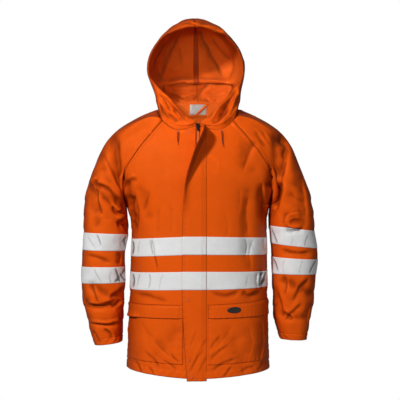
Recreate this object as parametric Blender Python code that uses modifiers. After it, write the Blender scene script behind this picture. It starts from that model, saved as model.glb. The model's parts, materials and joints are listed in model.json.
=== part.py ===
"""A hooded hi-vis rain work jacket, filled out as if worn, made of separate cloth pieces.

Sizes are in millimetres and are turned into metres when a mesh is made. The origin is the middle of the
neck base, +X is the wearer's left, the front faces -Y and +Z is up. Each cloth piece is an open grid laid
on a surface worked out from the tables below, with a Solidify modifier for its wall.
"""

import math

import bmesh
import bpy
import numpy as np
from mathutils import Matrix, Vector

MM = 0.001

# ---------------------------------------------------------------- driving dimensions, in millimetres
WALL = 1.6  # coated polyester with its seam allowances
SEAM_GAP = 0.3
PANEL_GAP = 0.9  # between a panel and the sleeve beside it, whose walls meet at an angle
HOOD_GAP = 0.9  # between the hood's halves, and between each and the collar band
BAND_GAP = 1.8  # how much the collar band's wavy top is lowered at the hood
BACK_SPLIT = -430.0  # the back is two solids, so that its collision pieces stay thin
SLEEVE_SPLIT = 5.5  # so is each sleeve, at this ring between its tapes
TAPE_WALL = 1.0
FLAP_WALL = 1.6
ROUND = 2.4  # superellipse power of the body's cross-section
SLEEVE_ROUND = 2.2
ZIP_EDGE = 4.5  # from the zip's centre line to each front's edge
ARMPIT = -272.0
NECK_FRONT = -43.0  # height of the neckline at the zip
NECK_BACK = -4.0
NECK_DIP = 15.0  # the neckline sags between the zip and the raglan seam

# Reflective tapes: (name, lower edge, upper edge), heights at the centre front.
TAPES = (("low", -504.0, -454.0), ("high", -407.0, -357.0))
POCKET_TOP, FLAP_FOOT, POCKET_FOOT = -546.0, -584.0, -712.0
POCKET_SWELL = 5.0  # how far a patch pocket stands off the front in its middle
HEM = -750.0


def table(names, *rows):
    """A table as a dictionary of columns."""
    return dict(zip(names.split(), np.array(rows, float).T))


# The body's cross-section at each height: half its width, how deep it is in front and behind, how far its
# centre leans to +X, and how far a level row drops or rises by the time it reaches each side.
BODY = table(
    "height half_width front back lean right_rise left_rise",
    (-750, 206, 150, 150, 0.0, 17, 14),
    (-700, 204, 150, 149, 0.5, 8, 6),
    (-640, 202, 149, 149, 1.0, 2, 3),
    (-584, 200, 148, 148, 1.5, 0, 4),
    (-546, 199, 148, 148, 1.5, -1, 9),
    (-504, 198, 147, 146, 2.0, -5, 3),
    (-454, 197, 145, 144, 2.5, -6, -3),
    (-407, 196, 143, 142, 3.0, -9, -3),
    (-357, 195, 141, 140, 3.5, -9, -5),
    (-310, 197, 139, 139, 2.0, -4, -2),
    (-272, 206, 138, 138, 0.0, 0, 0),
    (-255, 212, 137, 138, 0.0, 0, 0),
    (-230, 225, 136, 138, 0.0, 0, 0),
    (-183, 235, 133, 136, 0.0, 0, 0),
    (-119, 240, 117, 126, 0.0, 0, 0),
    (-60, 240, 95, 106, 0.0, 0, 0),
    (-30, 240, 82, 94, 0.0, 0, 0),
    (0, 240, 74, 83, 0.0, 0, 0),
)

# The raglan seams, from the armpit (share 0) to the neckline (share 1).
FRONT_SEAM = table(
    "share height x",
    (0.00, ARMPIT, 206),
    (0.09, -255, 211),
    (0.22, -230, 214),
    (0.38, -183, 211),
    (0.62, -119, 174),
    (0.82, -72, 137),
    (1.00, -29, 100),
)
BACK_SEAM = table(
    "share height x",
    (0.00, ARMPIT, 206),
    (0.09, -255, 211),
    (0.22, -230, 214),
    (0.38, -180, 208),
    (0.62, -115, 165),
    (0.82, -58, 120),
    (1.00, 1, 75),
)
# The neckline over the shoulder, between the two seams' upper ends.
SHOULDER_NECK = table("share x y height", (0.33, 112, -38, -6), (0.6, 115, 4, 9), (0.82, 103, 45, 9))

# Rings of a sleeve, from the cuff up: the end next to the body, the end away from it, and half the depth.
SLEEVE_RIGHT = table(
    "inner_x inner_z outer_x outer_z depth",
    (221, -664, 299, -673, 46),
    (220, -640, 311, -644, 52),
    (217, -603, 319, -603, 60),
    (214, -550, 333, -548, 66),
    (212, -491, 336, -494, 70),
    (212, -446, 336, -446, 72),
    (211, -400, 334, -398, 73),
    (202, -353, 331, -348, 75),
    (202, -318, 331, -300, 77),
    (205, -297, 327, -243, 79),
    (206, -285, 303, -165, 80),
    (207, -278, 258, -78, 78),
)
SLEEVE_LEFT = table(
    "inner_x inner_z outer_x outer_z depth",
    (237, -655, 316, -657, 46),
    (230, -632, 320, -634, 52),
    (221, -603, 325, -603, 59),
    (217, -545, 336, -545, 65),
    (214, -466, 341, -468, 70),
    (213, -418, 347, -426, 72),
    (211, -379, 345, -394, 74),
    (205, -328, 338, -344, 76),
    (203, -306, 334, -290, 78),
    (205, -290, 325, -243, 79),
    (206, -282, 298, -165, 80),
    (207, -277, 256, -78, 78),
)
TAPE_RINGS = {"low": (4, 5), "high": (6, 7)}  # rows of the sleeve tables that carry a tape's edges
FRONT_PART, BACK_PART = 0.375, 0.625  # shares round the sleeve's upper ring where the raglan seams end

# The hood, from the collar band up to its centre seam: its front edge, its side and the middle of its back.
HOOD = table(
    "front_x front_y front_z side_x side_y side_z back_y back_z",
    (40, -90, -12, 123, -2, 50, 105, 52),
    (66, -82, 20, 127, -2, 68, 116, 70),
    (98, -64, 54, 133, -2, 90, 97, 94),
    (130, -50, 92, 138, 0, 116, 117, 118),
    (135, -48, 124, 137, 5, 148, 132, 152),
    (125, -52, 163, 121, 8, 188, 128, 195),
    (100, -60, 201, 95, 12, 225, 109, 235),
    (66, -67, 224, 59, 15, 256, 84, 259),
    (0, -74, 237, 0, 14, 274, 68, 270),
)
# How far the hood leans to the wearer's right, by height.
HOOD_LEAN = table("height shift", (40, 0), (110, -6), (190, -6), (280, -9))

# The collar band's height and outward lean, along the neckline: 0 at the zip, 3 at the middle of the back.
BAND = table(
    "place height lean",
    (0, 3, 0), (0.6, 10, 0), (1, 15, 3), (1.6, 22, 5), (2.2, 31, 3), (3, 35, 1),
)

# The storm flap: its width, how far its free edge is turned up, in degrees, and the share of its width
# where the turn begins.
FLAP_SEAM_X = 24.5
FLAP_LIFT = 1.75
CURL_SHARE = 0.3  # how much of its width the turn takes to grow
CURL_STEPS = 24
FLAP = table(
    "height width turn bend",
    (-756, 55, 0, 0.60),
    (-640, 63, 0, 0.60),
    (-560, 67, 0, 0.60),
    (-300, 67, 0, 0.60),
    (-255, 67, 32, 0.60),
    (-212, 67, 55, 0.60),
    (-174, 67, 66, 0.46),
    (-139, 66, 72, 0.28),
    (-104, 66, 76, 0.08),
    (-75, 64, 80, -0.10),
    (-47, 62, 84, -0.25),
)

# Largest folds, seen from the front: from (x0, z0) to (x1, z1), half their width, their depth, and the
# face they are on. Positive depth is a trough, negative a ridge.
FOLDS = table(
    "x0 z0 x1 z1 width depth face",
    (-250, -70, -213, -205, 15, 5, -1),
    (-283, -125, -240, -215, 16, 5, -1),
    (-316, -215, -232, -262, 13, 8, -1),
    (-322, -222, -285, -320, 15, 5, -1),
    (-222, -535, -300, -500, 15, 7, -1),
    (-225, -560, -330, -548, 12, 6, -1),
    (224, -75, 212, -205, 13, 8, -1),
    (205, -215, 198, -300, 14, 6, -1),
    (245, -110, 262, -190, 18, -5, -1),
    (250, -300, 300, -318, 12, 6, -1),
    (250, -485, 322, -520, 16, 8, -1),
    (245, -585, 300, -590, 12, 5, -1),
    (-205, -215, -196, -300, 14, 6, -1),
    (-165, -225, -140, -295, 20, 4, -1),
    (135, -100, 152, -165, 20, 4, -1),
    (140, -235, 136, -400, 18, 5, -1),
    (-60, -620, -120, -700, 22, 4, -1),
    (90, -640, 130, -715, 22, 4, -1),
    (-285, -90, -230, -215, 17, 6, 1),
    (-320, -230, -225, -285, 15, 7, 1),
    (-225, -520, -325, -500, 15, 6, 1),
    (262, -80, 222, -215, 16, 7, 1),
    (320, -245, 225, -290, 14, 6, 1),
    (235, -500, 325, -470, 16, 6, 1),
    (-150, -190, -90, -320, 26, 6, 1),
    (155, -180, 100, -330, 26, 6, 1),
    (-60, -560, -90, -720, 26, 5, 1),
    (75, -540, 60, -715, 26, 5, 1),
)

# The drawcords, from the eyelet down, chosen by hand: how far the cord's middle stands off the front.
CORD = 3.0
CORD_ROUTES = {
    "right": table(
        "x stand_off z",
        (-56.0, 1.0, -64.0),
        (-56.1, 5.0, -64.6),
        (-56.5, 8.0, -68.5),
        (-57.2, 7.4, -75.5),
        (-57.0, 5.6, -83.5),
        (-56.0, 4.9, -92.0),
    ),
    "left": table(
        "x stand_off z",
        (66.0, 1.0, -61.0),
        (66.2, 5.0, -61.6),
        (66.8, 8.0, -65.5),
        (67.4, 7.4, -73.0),
        (67.6, 5.8, -82.0),
        (68.6, 5.0, -91.0),
        (70.4, 4.9, -100.0),
    ),
}
EYELET = {"outer": 5.5, "hole": 2.3, "thick": 1.0}
KNOT = 3.4

# The zip: its slider and pull tab, along the front's own slope.
ZIP_TOP, ZIP_FOOT = -42.0, -742.0
TEETH_HALF, ZIP_TAPE_WIDTH = 3.0, 15.0
ZIP_GAP = 0.51  # from the inside of the fronts to the zip's strips
SLIDER = {"height": -45.0, "width": 9.6, "length": 11.0, "thick": 3.2, "ear": 1.3, "pin": 0.8}
PULL = {"width": 6.4, "length": 16.0, "thick": 1.5, "eye": 1.9, "bore": 1.15, "stand_off": 2.2}

# Press studs: name, the piece it is on, x and height.
STUDS = (
    ("snap_top", "front_right", -28.0, -66.0),
    ("snap_mid", "storm_flap", -27.0, -530.0),
    ("snap_low", "storm_flap", -27.4, -698.0),
    ("snap_hem", "storm_flap", -18.0, -743.0),
)
STUD_RADIUS, STUD_TOP_RADIUS, STUD_HEIGHT = 5.6, 4.8, 1.4

# Shares of a front from its zip edge to its side, and the heights of its rows up to the armpit.
SHARES = (0, 0.05, 0.1, 0.18, 0.27, 0.36, 0.46, 0.56, 0.66, 0.76, 0.85, 0.93, 0.975, 1)
BACK_SHARES = (0, 0.12, 0.25, 0.38, 0.5, 0.62, 0.74, 0.85, 0.94, 1)
BACK_SPREADS = sorted({share * sign for share in BACK_SHARES for sign in (-1, 1)})
FLAP_SHARES = (0, 0.3, 0.5, 0.65, 0.8, 1)
POCKET_SHARES = {"right": (2, 11), "left": (1, 11)}
POCKET_FLAP_SHARES = {"right": (2, 12), "left": (1, 12)}
POCKET_MOUTH = -565
LOWER_ROWS = (
    HEM, -732, POCKET_FOOT, -672, -628, FLAP_FOOT, POCKET_MOUTH, POCKET_TOP,
    -504, -454, BACK_SPLIT, -407, -357, -315,
)
SEAM_ROWS = 9  # along each raglan seam
NECK_PLACES = 6  # over each shoulder's neck edge
SLEEVE_TURNS = 2 * SEAM_ROWS + NECK_PLACES
SLEEVE_ROWS = (
    *np.arange(0, 4, 0.5), *np.linspace(4, 5, 3), SLEEVE_SPLIT, 6, *np.arange(7, 11, 0.5),
    *np.linspace(11, 12, 4),
)
FLAP_HEIGHTS = (ARMPIT, -235, -205, -178, -145, -118, -95, -75, -58, -47)
HOOD_ROWS = (0, 0.35, 1, 2, 3, 4, 5.3, 6.5, 7.5, 8.3, 8.7, 9)


# ---------------------------------------------------------------- curves and surfaces
def smooth(knots, values, places, first_slope=None, last_slope=None):
    """A cubic curve through values at rising knots, read at these places; past its ends it is straight."""
    knots, values = np.asarray(knots, float), np.asarray(values, float)
    slopes = np.gradient(values, knots, axis=0)
    if first_slope is not None:
        slopes[0] = first_slope
    if last_slope is not None:
        slopes[-1] = last_slope
    places = np.asarray(places, float)
    inside = np.clip(places, knots[0], knots[-1])
    i = np.clip(np.searchsorted(knots, inside, side="right") - 1, 0, len(knots) - 2)
    column_shape = places.shape + (1,) * (values.ndim - 1)
    span = (knots[i + 1] - knots[i]).reshape(column_shape)
    t = ((inside - knots[i])).reshape(column_shape) / span
    curve = (
        (2 * t**3 - 3 * t**2 + 1) * values[i]
        + (t**3 - 2 * t**2 + t) * span * slopes[i]
        + (3 * t**2 - 2 * t**3) * values[i + 1]
        + (t**3 - t**2) * span * slopes[i + 1]
    )
    past = (places - inside).reshape(column_shape)
    return curve + past * np.where(past < 0, slopes[0], slopes[-1])


def along(columns, name, places):
    """A table's column, read along its first one."""
    return smooth(next(iter(columns.values())), columns[name], places)


def ease(t):
    """0 up to t = 0, 1 from t = 1, smooth between."""
    t = np.clip(t, 0, 1)
    return t * t * (3 - 2 * t)


def power(value, exponent):
    return np.sign(value) * np.abs(value) ** exponent


def points(x, y, z):
    return np.stack(np.broadcast_arrays(x, y, z), axis=-1).astype(float)


def body(side, face, angle, height):
    """The body's cross-section: face is -1 in front and 1 behind; the angle is 90 degrees at the side."""
    edge = ZIP_EDGE if face < 0 else 0.0
    sine, cosine = power(np.sin(angle), 2 / ROUND), power(np.cos(angle), 2 / ROUND)
    half = along(BODY, "half_width", height)
    deep = along(BODY, "front" if face < 0 else "back", height)
    lean = along(BODY, "lean", height)
    return points(side * (edge + (half - edge) * sine) + lean * sine, face * deep * cosine, height)


def seam_angle(face, share):
    """Where a raglan seam lies on the body's cross-section."""
    seam, edge = (FRONT_SEAM, ZIP_EDGE) if face < 0 else (BACK_SEAM, 0.0)
    half = along(BODY, "half_width", along(seam, "height", share))
    reach = (along(seam, "x", share) - edge) / (half - edge)
    return np.arcsin(np.clip(reach, 0, 1) ** (ROUND / 2))


def panel(side, face, shares, rows):
    """A front, or half the back. A row is its height at the centre; above the armpit it ends at a seam."""
    share, row = np.meshgrid(shares, rows)
    neck, seam = (NECK_FRONT, FRONT_SEAM) if face < 0 else (NECK_BACK, BACK_SEAM)
    climb = np.maximum(row - ARMPIT, 0) / (neck - ARMPIT)
    quarter = np.where(climb > 0, seam_angle(face, climb), np.pi / 2)
    rise = along(BODY, "right_rise" if side < 0 else "left_rise", np.minimum(row, ARMPIT))
    below = row + rise * power(np.sin(share * np.pi / 2), 1.2)
    above = row + (along(seam, "height", climb) - row) * share**2
    if face < 0:
        above = above - NECK_DIP * climb**3 * np.sin(np.pi * share)
    return body(side, face, share * quarter, np.where(climb > 0, above, below))


def back(spreads, rows):
    """The whole back, from -1 at the wearer's right side to 1 at the left."""
    spreads = np.asarray(spreads, float)
    right, left = panel(-1, 1, -spreads, rows), panel(1, 1, spreads, rows)
    return np.where((spreads < 0)[None, :, None], right, left)


def neckline(side, places):
    """The neck edge of one half: 0 at the zip, 1 and 2 at the raglan seams, 3 at the middle of the back."""
    places = np.asarray(places, float)
    front = panel(side, -1, np.clip(places, -0.1, 1), [NECK_FRONT])[0]
    rear = panel(side, 1, np.clip(3 - places, -0.1, 1), [NECK_BACK])[0]
    before, first = panel(side, -1, [0.98, 1.0], [NECK_FRONT])[0]
    after, last = panel(side, 1, [0.98, 1.0], [NECK_BACK])[0]
    shoulder = points(side * SHOULDER_NECK["x"], SHOULDER_NECK["y"], SHOULDER_NECK["height"])
    over = smooth(
        np.concatenate([[0], SHOULDER_NECK["share"], [1]]),
        np.concatenate([[first], shoulder, [last]]),
        np.clip(places - 1, 0, 1),
        first_slope=(first - before) / 0.02,
        last_slope=(after - last) / 0.02,
    )
    place = places[:, None]
    return np.where(place <= 1, front, np.where(place >= 2, rear, over))


def sleeve(side, turns, rows):
    """A sleeve: a turn of 0 is under the arm, 0.25 in front, 0.5 outside. A row is a ring of the table."""
    rings = SLEEVE_RIGHT if side < 0 else SLEEVE_LEFT
    turn = np.asarray(turns, float) % 1
    cosine, sine = (power(f(2 * np.pi * turn), 2 / SLEEVE_ROUND) for f in (np.cos, np.sin))
    inner = points(side * rings["inner_x"], 0, rings["inner_z"])[:, None, :]
    outer = points(side * rings["outer_x"], 0, rings["outer_z"])[:, None, :]
    depth = rings["depth"][:, None]
    loops = (inner + outer) / 2 - (outer - inner) / 2 * cosine[None, :, None]
    loops[..., 1] -= depth * sine[None, :]

    # The last ring is the raglan seams and the neck edge, where the sleeve takes the panels' own slope.
    front_row = ARMPIT + np.clip(turn / FRONT_PART, 0, 1) * (NECK_FRONT - ARMPIT)
    back_row = ARMPIT + np.clip((1 - turn) / (1 - BACK_PART), 0, 1) * (NECK_BACK - ARMPIT)
    in_front, behind = panel(side, -1, [0.99, 1.0], front_row), panel(side, 1, [0.99, 1.0], back_row)
    over = neckline(side, 1 + np.clip((turn - FRONT_PART) / (BACK_PART - FRONT_PART), 0, 1))
    part = turn[:, None]
    top = np.where(part <= FRONT_PART, in_front[:, 1], np.where(part >= BACK_PART, behind[:, 1], over))
    share = ease((turn - FRONT_PART) / (BACK_PART - FRONT_PART))[:, None]
    onward = (in_front[:, 0] - in_front[:, 1]) * (1 - share) + (behind[:, 0] - behind[:, 1]) * share
    onward /= np.linalg.norm(onward, axis=1, keepdims=True)

    loops = np.concatenate([loops, top[None]])
    middles = loops.mean(axis=1)
    knots = np.concatenate([[0], np.cumsum(np.linalg.norm(np.diff(middles, axis=0), axis=1))])
    reach = np.linalg.norm(loops[-1] - loops[-2], axis=1) / (knots[-1] - knots[-2])
    over_shoulder = np.sin(np.pi * np.clip((turn - FRONT_PART) / (BACK_PART - FRONT_PART), 0, 1))[:, None]
    onward = onward + over_shoulder * (np.array((-0.9 * side, 0, 0.37)) - onward)
    reach *= 0.3 + 0.7 * ease(np.minimum(turn, 1 - turn) / 0.3)  # the underarm turns in close to the seam
    places = np.interp(rows, np.arange(len(knots)), knots)
    return smooth(knots, loops, places, last_slope=onward * reach[:, None])


def band_half(side, places, shares):
    """The collar band of one half: share 0 on the neckline, 1 under the hood."""
    foot = neckline(side, places)
    outward = foot * (1, 1.3, 0)
    outward /= np.maximum(np.linalg.norm(outward, axis=1, keepdims=True), 1)
    share = np.asarray(shares, float)[:, None, None]
    height = along(BAND, "height", places)[None, :, None]
    lean = along(BAND, "lean", places)[None, :, None]
    return foot[None] + share * lean * outward[None] + (2 * SEAM_GAP + share * height) * np.array((0, 0, 1))


def band(spreads, shares):
    """The whole collar band, from -3 at the right zip edge round the back to 3 at the left."""
    spreads = np.asarray(spreads, float)
    right, left = (band_half(side, 3 - np.abs(spreads), shares) for side in (-1, 1))
    return np.where((spreads < 0)[None, :, None], right, left)


def hood(side, places, rows):
    """Half the hood: place 0 is its front edge, 3 the middle of its back; row 0 sits on the collar band."""
    places = np.asarray(places, float)
    front = points(HOOD["front_x"], HOOD["front_y"], HOOD["front_z"])
    side_point = points(HOOD["side_x"], HOOD["side_y"], HOOD["side_z"])
    rear = points(0, HOOD["back_y"], HOOD["back_z"])
    cheek = front + (side_point - front) * (0.74, 0.26, 0.5)
    nape = side_point + (rear - side_point) * (0.26, 0.74, 0.5)
    level = nape * (-1.7, 0, 0)  # the back and the crown cross the centre seam level
    keys = np.stack([front, cheek, side_point, nape, rear])
    rings = smooth((0, 0.75, 1.5, 2.25, 3), keys, places, last_slope=level)
    rings = np.swapaxes(rings, 0, 1) * (side, 1, 1)
    sill = band_half(side, places, [0.0, 1.0])
    rise = sill[1] - sill[0]
    gap = np.linalg.norm(rings[0] - sill[1], axis=1, keepdims=True)
    rise *= 0.7 * gap / np.linalg.norm(rise, axis=1, keepdims=True)
    rings = np.concatenate([sill[1:] + (0, 0, HOOD_GAP), rings])
    width = np.abs(rings[-2][:, 0])
    crown = rings[-1] - rings[-2]
    crown[:, 0] = -1.4 * rings[-2][:, 0]
    crown[:, 2] *= 1 - np.clip(width / 50, 0, 1)
    grid = smooth(np.arange(len(rings)), rings, rows, first_slope=rise, last_slope=crown)
    grid[..., 0] += np.interp(grid[..., 2], HOOD_LEAN["height"], HOOD_LEAN["shift"])
    return grid


def front_y(x, height):
    """How far forward the fronts reach at a place seen from in front."""
    half = along(BODY, "half_width", height)
    reach = np.clip((np.abs(x) - ZIP_EDGE) / (half - ZIP_EDGE), 0, 1)
    return -along(BODY, "front", height) * (1 - reach**ROUND) ** (1 / ROUND)


def storm_flap(shares, heights):
    """The storm flap: share 0 at its seam, 1 at its free edge. Its turn grows past the bend, as a curl does."""
    share, height = np.meshgrid(shares, heights)
    width = along(FLAP, "width", height)
    turn = np.radians(np.maximum(along(FLAP, "turn", height), 0))[..., None]
    bend = along(FLAP, "bend", height)[..., None]
    within = (np.arange(CURL_STEPS) + 0.5) / CURL_STEPS
    angle = turn * ease((share[..., None] * within - bend) / CURL_SHARE)
    x = FLAP_SEAM_X - width * share * np.cos(angle).mean(axis=-1)
    out = width * share * np.sin(angle).mean(axis=-1)
    return points(x, front_y(x, height) - FLAP_LIFT - out, height)


def zip_strip(low_x, high_x):
    """A strip that runs down behind the zip edges."""
    def surface(shares, heights):
        share, height = np.meshgrid(shares, heights)
        x = low_x + (high_x - low_x) * share
        return points(x, -along(BODY, "front", height), height)
    return surface


# ---------------------------------------------------------------- folds and walls
def normals_of(surface, us, vs, facing):
    """Outward unit normals of a surface at a grid of places."""
    us, vs = np.asarray(us, float), np.asarray(vs, float)
    step_u, step_v = 1e-3 * np.ptp(us), 1e-3 * np.ptp(vs)
    across = surface(us + step_u, vs) - surface(us - step_u, vs)
    up = surface(us, vs + step_v) - surface(us, vs - step_v)
    normal = facing * np.cross(across, up)
    return normal / np.linalg.norm(normal, axis=-1, keepdims=True)


def fold_depth(place, normal):
    """How far the largest folds press in each point, from where it lies seen from in front or behind."""
    total = np.zeros(place.shape[:-1])
    spot = place[..., (0, 2)]
    for x0, z0, x1, z1, width, depth, face in zip(*FOLDS.values()):
        start, run = np.array((x0, z0)), np.array((x1 - x0, z1 - z0))
        share = np.clip((spot - start) @ run / (run @ run), 0, 1)
        away = np.linalg.norm(spot - start - share[..., None] * run, axis=-1)
        total += depth * np.exp(-((away / width) ** 2)) * ease(1.6 * face * normal[..., 1])
    return total


def formed(surface, us, vs, facing, lift=0.0):
    """A surface's points with the folds pressed in, moved out by lift; lift may be a grid."""
    place, normal = surface(us, vs), normals_of(surface, us, vs, facing)
    move = np.asarray(lift) - fold_depth(place, normal)
    return place + normal * move[..., None]


def pull_in(grid, low_u=False, high_u=False, low_v=False, high_v=False, gap=SEAM_GAP + 0.06):
    """Draws chosen edges in by half a gap."""
    grid = grid.copy()
    for chosen, edge, inner in (
        (low_u, (slice(None), 0), (slice(None), 1)),
        (high_u, (slice(None), -1), (slice(None), -2)),
        (low_v, 0, 1),
        (high_v, -1, -2),
    ):
        if chosen:
            run = grid[inner] - grid[edge]
            grid[edge] += run / np.linalg.norm(run, axis=-1, keepdims=True) * gap / 2
    return grid


MATERIALS = {
    "shell_fabric": ((0.80, 0.10, 0.010, 1), 0.55, 0.0),
    "reflective_tape": ((0.62, 0.64, 0.66, 1), 0.4, 0.0),
    "zip_cloth": ((0.62, 0.08, 0.010, 1), 0.7, 0.0),
    "dark_hardware": ((0.012, 0.012, 0.014, 1), 0.4, 0.0),
    "snap_metal": ((0.55, 0.10, 0.02, 1), 0.4, 0.0),
    "label_cloth": ((0.6, 0.6, 0.6, 1), 0.8, 0.0),
    "cord": ((0.35, 0.06, 0.02, 1), 0.8, 0.0),
}


def material(name):
    made = bpy.data.materials.get(name)
    if made is None:
        made = bpy.data.materials.new(name)
        made.use_nodes = True
        colour, rough, metal = MATERIALS[name]
        shader = made.node_tree.nodes["Principled BSDF"]
        shader.inputs["Base Color"].default_value = colour
        shader.inputs["Roughness"].default_value = rough
        shader.inputs["Metallic"].default_value = metal
    return made


def add(name, mesh, slot):
    """A new named object in the jacket's collection."""
    made = bpy.data.objects.new(name, mesh)
    mesh.materials.append(material(slot))
    bpy.data.collections["jacket"].objects.link(made)
    return made


def cloth(name, grid, facing, slot, wall=WALL, outward=False, closed=False):
    """A cloth piece: a grid of points in millimetres, its wall inside it, or outside where it lies on one."""
    rows, columns = grid.shape[:2]
    bm = bmesh.new()
    bmesh.ops.create_grid(bm, x_segments=columns - 1, y_segments=rows - 1, size=1)
    for vertex in bm.verts:
        column = round((vertex.co.x + 1) / 2 * (columns - 1))
        row = round((vertex.co.y + 1) / 2 * (rows - 1))
        vertex.co = Vector(grid[row, column]) * MM
    if closed:
        bmesh.ops.remove_doubles(bm, verts=bm.verts, dist=1e-6)
    if facing < 0:
        bmesh.ops.reverse_faces(bm, faces=bm.faces)
    mesh = bpy.data.meshes.new(name)
    bm.to_mesh(mesh)
    bm.free()
    mesh.shade_smooth()
    piece = add(name, mesh, slot)
    solid = piece.modifiers.new("wall", "SOLIDIFY")
    solid.thickness = wall * MM
    solid.offset = 1 if outward else -1
    solid.use_quality_normals = True
    return piece


# ---------------------------------------------------------------- the jacket's pieces
SIDES = {"right": -1, "left": 1}


def front_surface(side):
    return lambda shares, rows: panel(side, -1, shares, rows)


def panel_rows(neck):
    return (*LOWER_ROWS, *np.linspace(ARMPIT, neck, SEAM_ROWS + 1))


def rows_between(low, high):
    return [row for row in LOWER_ROWS if low <= row <= high]


def body_panels():
    for name, side in SIDES.items():
        grid = formed(front_surface(side), SHARES, panel_rows(NECK_FRONT), side)
        cloth(f"front_{name}", pull_in(grid, high_u=True, high_v=True, gap=PANEL_GAP), side, "shell_fabric")
    rows = panel_rows(NECK_BACK)
    grid = formed(back, BACK_SPREADS, rows, -1)
    grid = pull_in(grid, low_u=True, high_u=True, high_v=True, gap=PANEL_GAP)
    split = rows.index(BACK_SPLIT)
    cloth("back_lower", pull_in(grid[:split + 1], high_v=True), -1, "shell_fabric")
    cloth("back_upper", pull_in(grid[split:], low_v=True), -1, "shell_fabric")


def sleeves():
    turns = np.linspace(0, 1, SLEEVE_TURNS + 1)
    for name, side in SIDES.items():
        def surface(us, vs, side=side):
            return sleeve(side, us, vs)

        grid = formed(surface, turns, SLEEVE_ROWS, side)
        grid = pull_in(grid, high_v=True, gap=PANEL_GAP)
        split = SLEEVE_ROWS.index(SLEEVE_SPLIT)
        lower, upper = pull_in(grid[:split + 1], high_v=True), pull_in(grid[split:], low_v=True)
        cloth(f"sleeve_{name}_lower", lower, side, "shell_fabric", closed=True)
        cloth(f"sleeve_{name}_upper", upper, side, "shell_fabric", closed=True)
        for place, (low, high) in TAPE_RINGS.items():
            rows = [row for row in SLEEVE_ROWS if low <= row <= high]
            tape = formed(surface, turns, rows, side, SEAM_GAP)
            cloth(f"tape_sleeve_{name}_{place}", tape, side, "reflective_tape", TAPE_WALL, True, True)


def body_tapes():
    for place, low, high in TAPES:
        rows = rows_between(low, high)
        for name, side in SIDES.items():
            grid = pull_in(formed(front_surface(side), SHARES[1:], rows, side, SEAM_GAP), high_u=True)
            cloth(f"tape_front_{name}_{place}", grid, side, "reflective_tape", TAPE_WALL, True)
        grid = pull_in(formed(back, BACK_SPREADS, rows, -1, SEAM_GAP), low_u=True, high_u=True)
        cloth(f"tape_back_{place}", grid, -1, "reflective_tape", TAPE_WALL, True)
        grid = formed(storm_flap, FLAP_SHARES, rows, -1, FLAP_WALL + SEAM_GAP)
        cloth(f"tape_flap_{place}", grid, -1, "reflective_tape", TAPE_WALL, True)


def collar():
    over_shoulder = np.linspace(1, 2, NECK_PLACES + 1)[1:]
    half = [0.02, *SHARES[1:], *over_shoulder, *(3 - np.array(BACK_SHARES[-2::-1]))]
    spreads = np.array(half) - 3
    spreads = sorted({*spreads, *-spreads})
    grid = band(spreads, (0, 0.5, 1))
    cloth("collar_band", pull_in(grid, high_v=True, gap=BAND_GAP), -1, "shell_fabric")
    for name, side in SIDES.items():
        grid = hood(side, half[1:], HOOD_ROWS)
        grid = pull_in(grid, high_u=True, low_v=True, high_v=True, gap=HOOD_GAP)
        cloth(f"hood_{name}", grid, side, "shell_fabric")


def flap():
    heights = (FLAP["height"][0], *LOWER_ROWS[1:], *FLAP_HEIGHTS)
    grid = formed(storm_flap, FLAP_SHARES, heights, -1)
    cloth("storm_flap", grid, -1, "shell_fabric", FLAP_WALL, True)


def pocket_bulge(share, row, shares):
    """How far a patch pocket stands off the front."""
    low, high = shares
    across = np.sin(np.pi * np.clip((share - low) / (high - low), 0, 1))
    up = ease((row - POCKET_FOOT) / 60) * ease((POCKET_TOP + 30 - row) / 90)
    return POCKET_SWELL * across * up


def pocket_flap_lift(share, row, shares):
    """How far the back of a pocket's flap stands off the front: down at its seam and out over the mouth."""
    return SEAM_GAP + pocket_bulge(share, row, shares) + (WALL + 0.6) * ease((POCKET_TOP - row) / 14)


def pockets():
    for name, side in SIDES.items():
        first, last = POCKET_SHARES[name]
        shares = SHARES[first:last + 1]
        ends = shares[0], shares[-1]
        rows = rows_between(POCKET_FOOT, POCKET_MOUTH)
        share, row = np.meshgrid(shares, rows)
        grid = formed(front_surface(side), shares, rows, side, SEAM_GAP + pocket_bulge(share, row, ends))
        cloth(f"pocket_{name}", grid, side, "shell_fabric", WALL, True)
        first, last = POCKET_FLAP_SHARES[name]
        flap_shares = SHARES[first:last + 1]
        rows = rows_between(FLAP_FOOT, POCKET_TOP)
        share, row = np.meshgrid(flap_shares, rows)
        grid = formed(front_surface(side), flap_shares, rows, side, pocket_flap_lift(share, row, ends))
        cloth(f"pocket_flap_{name}", grid, side, "shell_fabric", WALL, True)


def zipper():
    heights = (*LOWER_ROWS, *np.linspace(ARMPIT, ZIP_TOP, SEAM_ROWS + 1))
    heights = [row for row in heights if row >= ZIP_FOOT]
    behind = -(WALL + ZIP_GAP)
    for name, side in SIDES.items():
        surface = zip_strip(side * SEAM_GAP / 2, side * ZIP_TAPE_WIDTH)
        grid = formed(surface, (0, 1), heights, side, behind)
        cloth(f"zip_tape_{name}", grid, side, "zip_cloth", 1.0)
    grid = formed(zip_strip(-TEETH_HALF, TEETH_HALF), (0, 1), heights, 1, behind + SEAM_GAP)
    cloth("zip_teeth", grid, 1, "zip_cloth", WALL, True)


def seat(x, height, lift=0.0):
    """A place on the fronts as a matrix in metres: its Z axis points out of the cloth, its Y axis up it."""
    step = 0.5
    slope_x = (front_y(x + step, height) - front_y(x - step, height)) / (2 * step)
    slope_z = (front_y(x, height + step) - front_y(x, height - step)) / (2 * step)
    out = Vector((slope_x, -1, slope_z)).normalized()
    up = Vector((0, slope_z, 1)).normalized()
    right = up.cross(out).normalized()
    up = out.cross(right)
    place = Matrix((right, up, out)).transposed().to_4x4()
    place.translation = (Vector((x, front_y(x, height), height)) + out * lift) * MM
    return place


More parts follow.
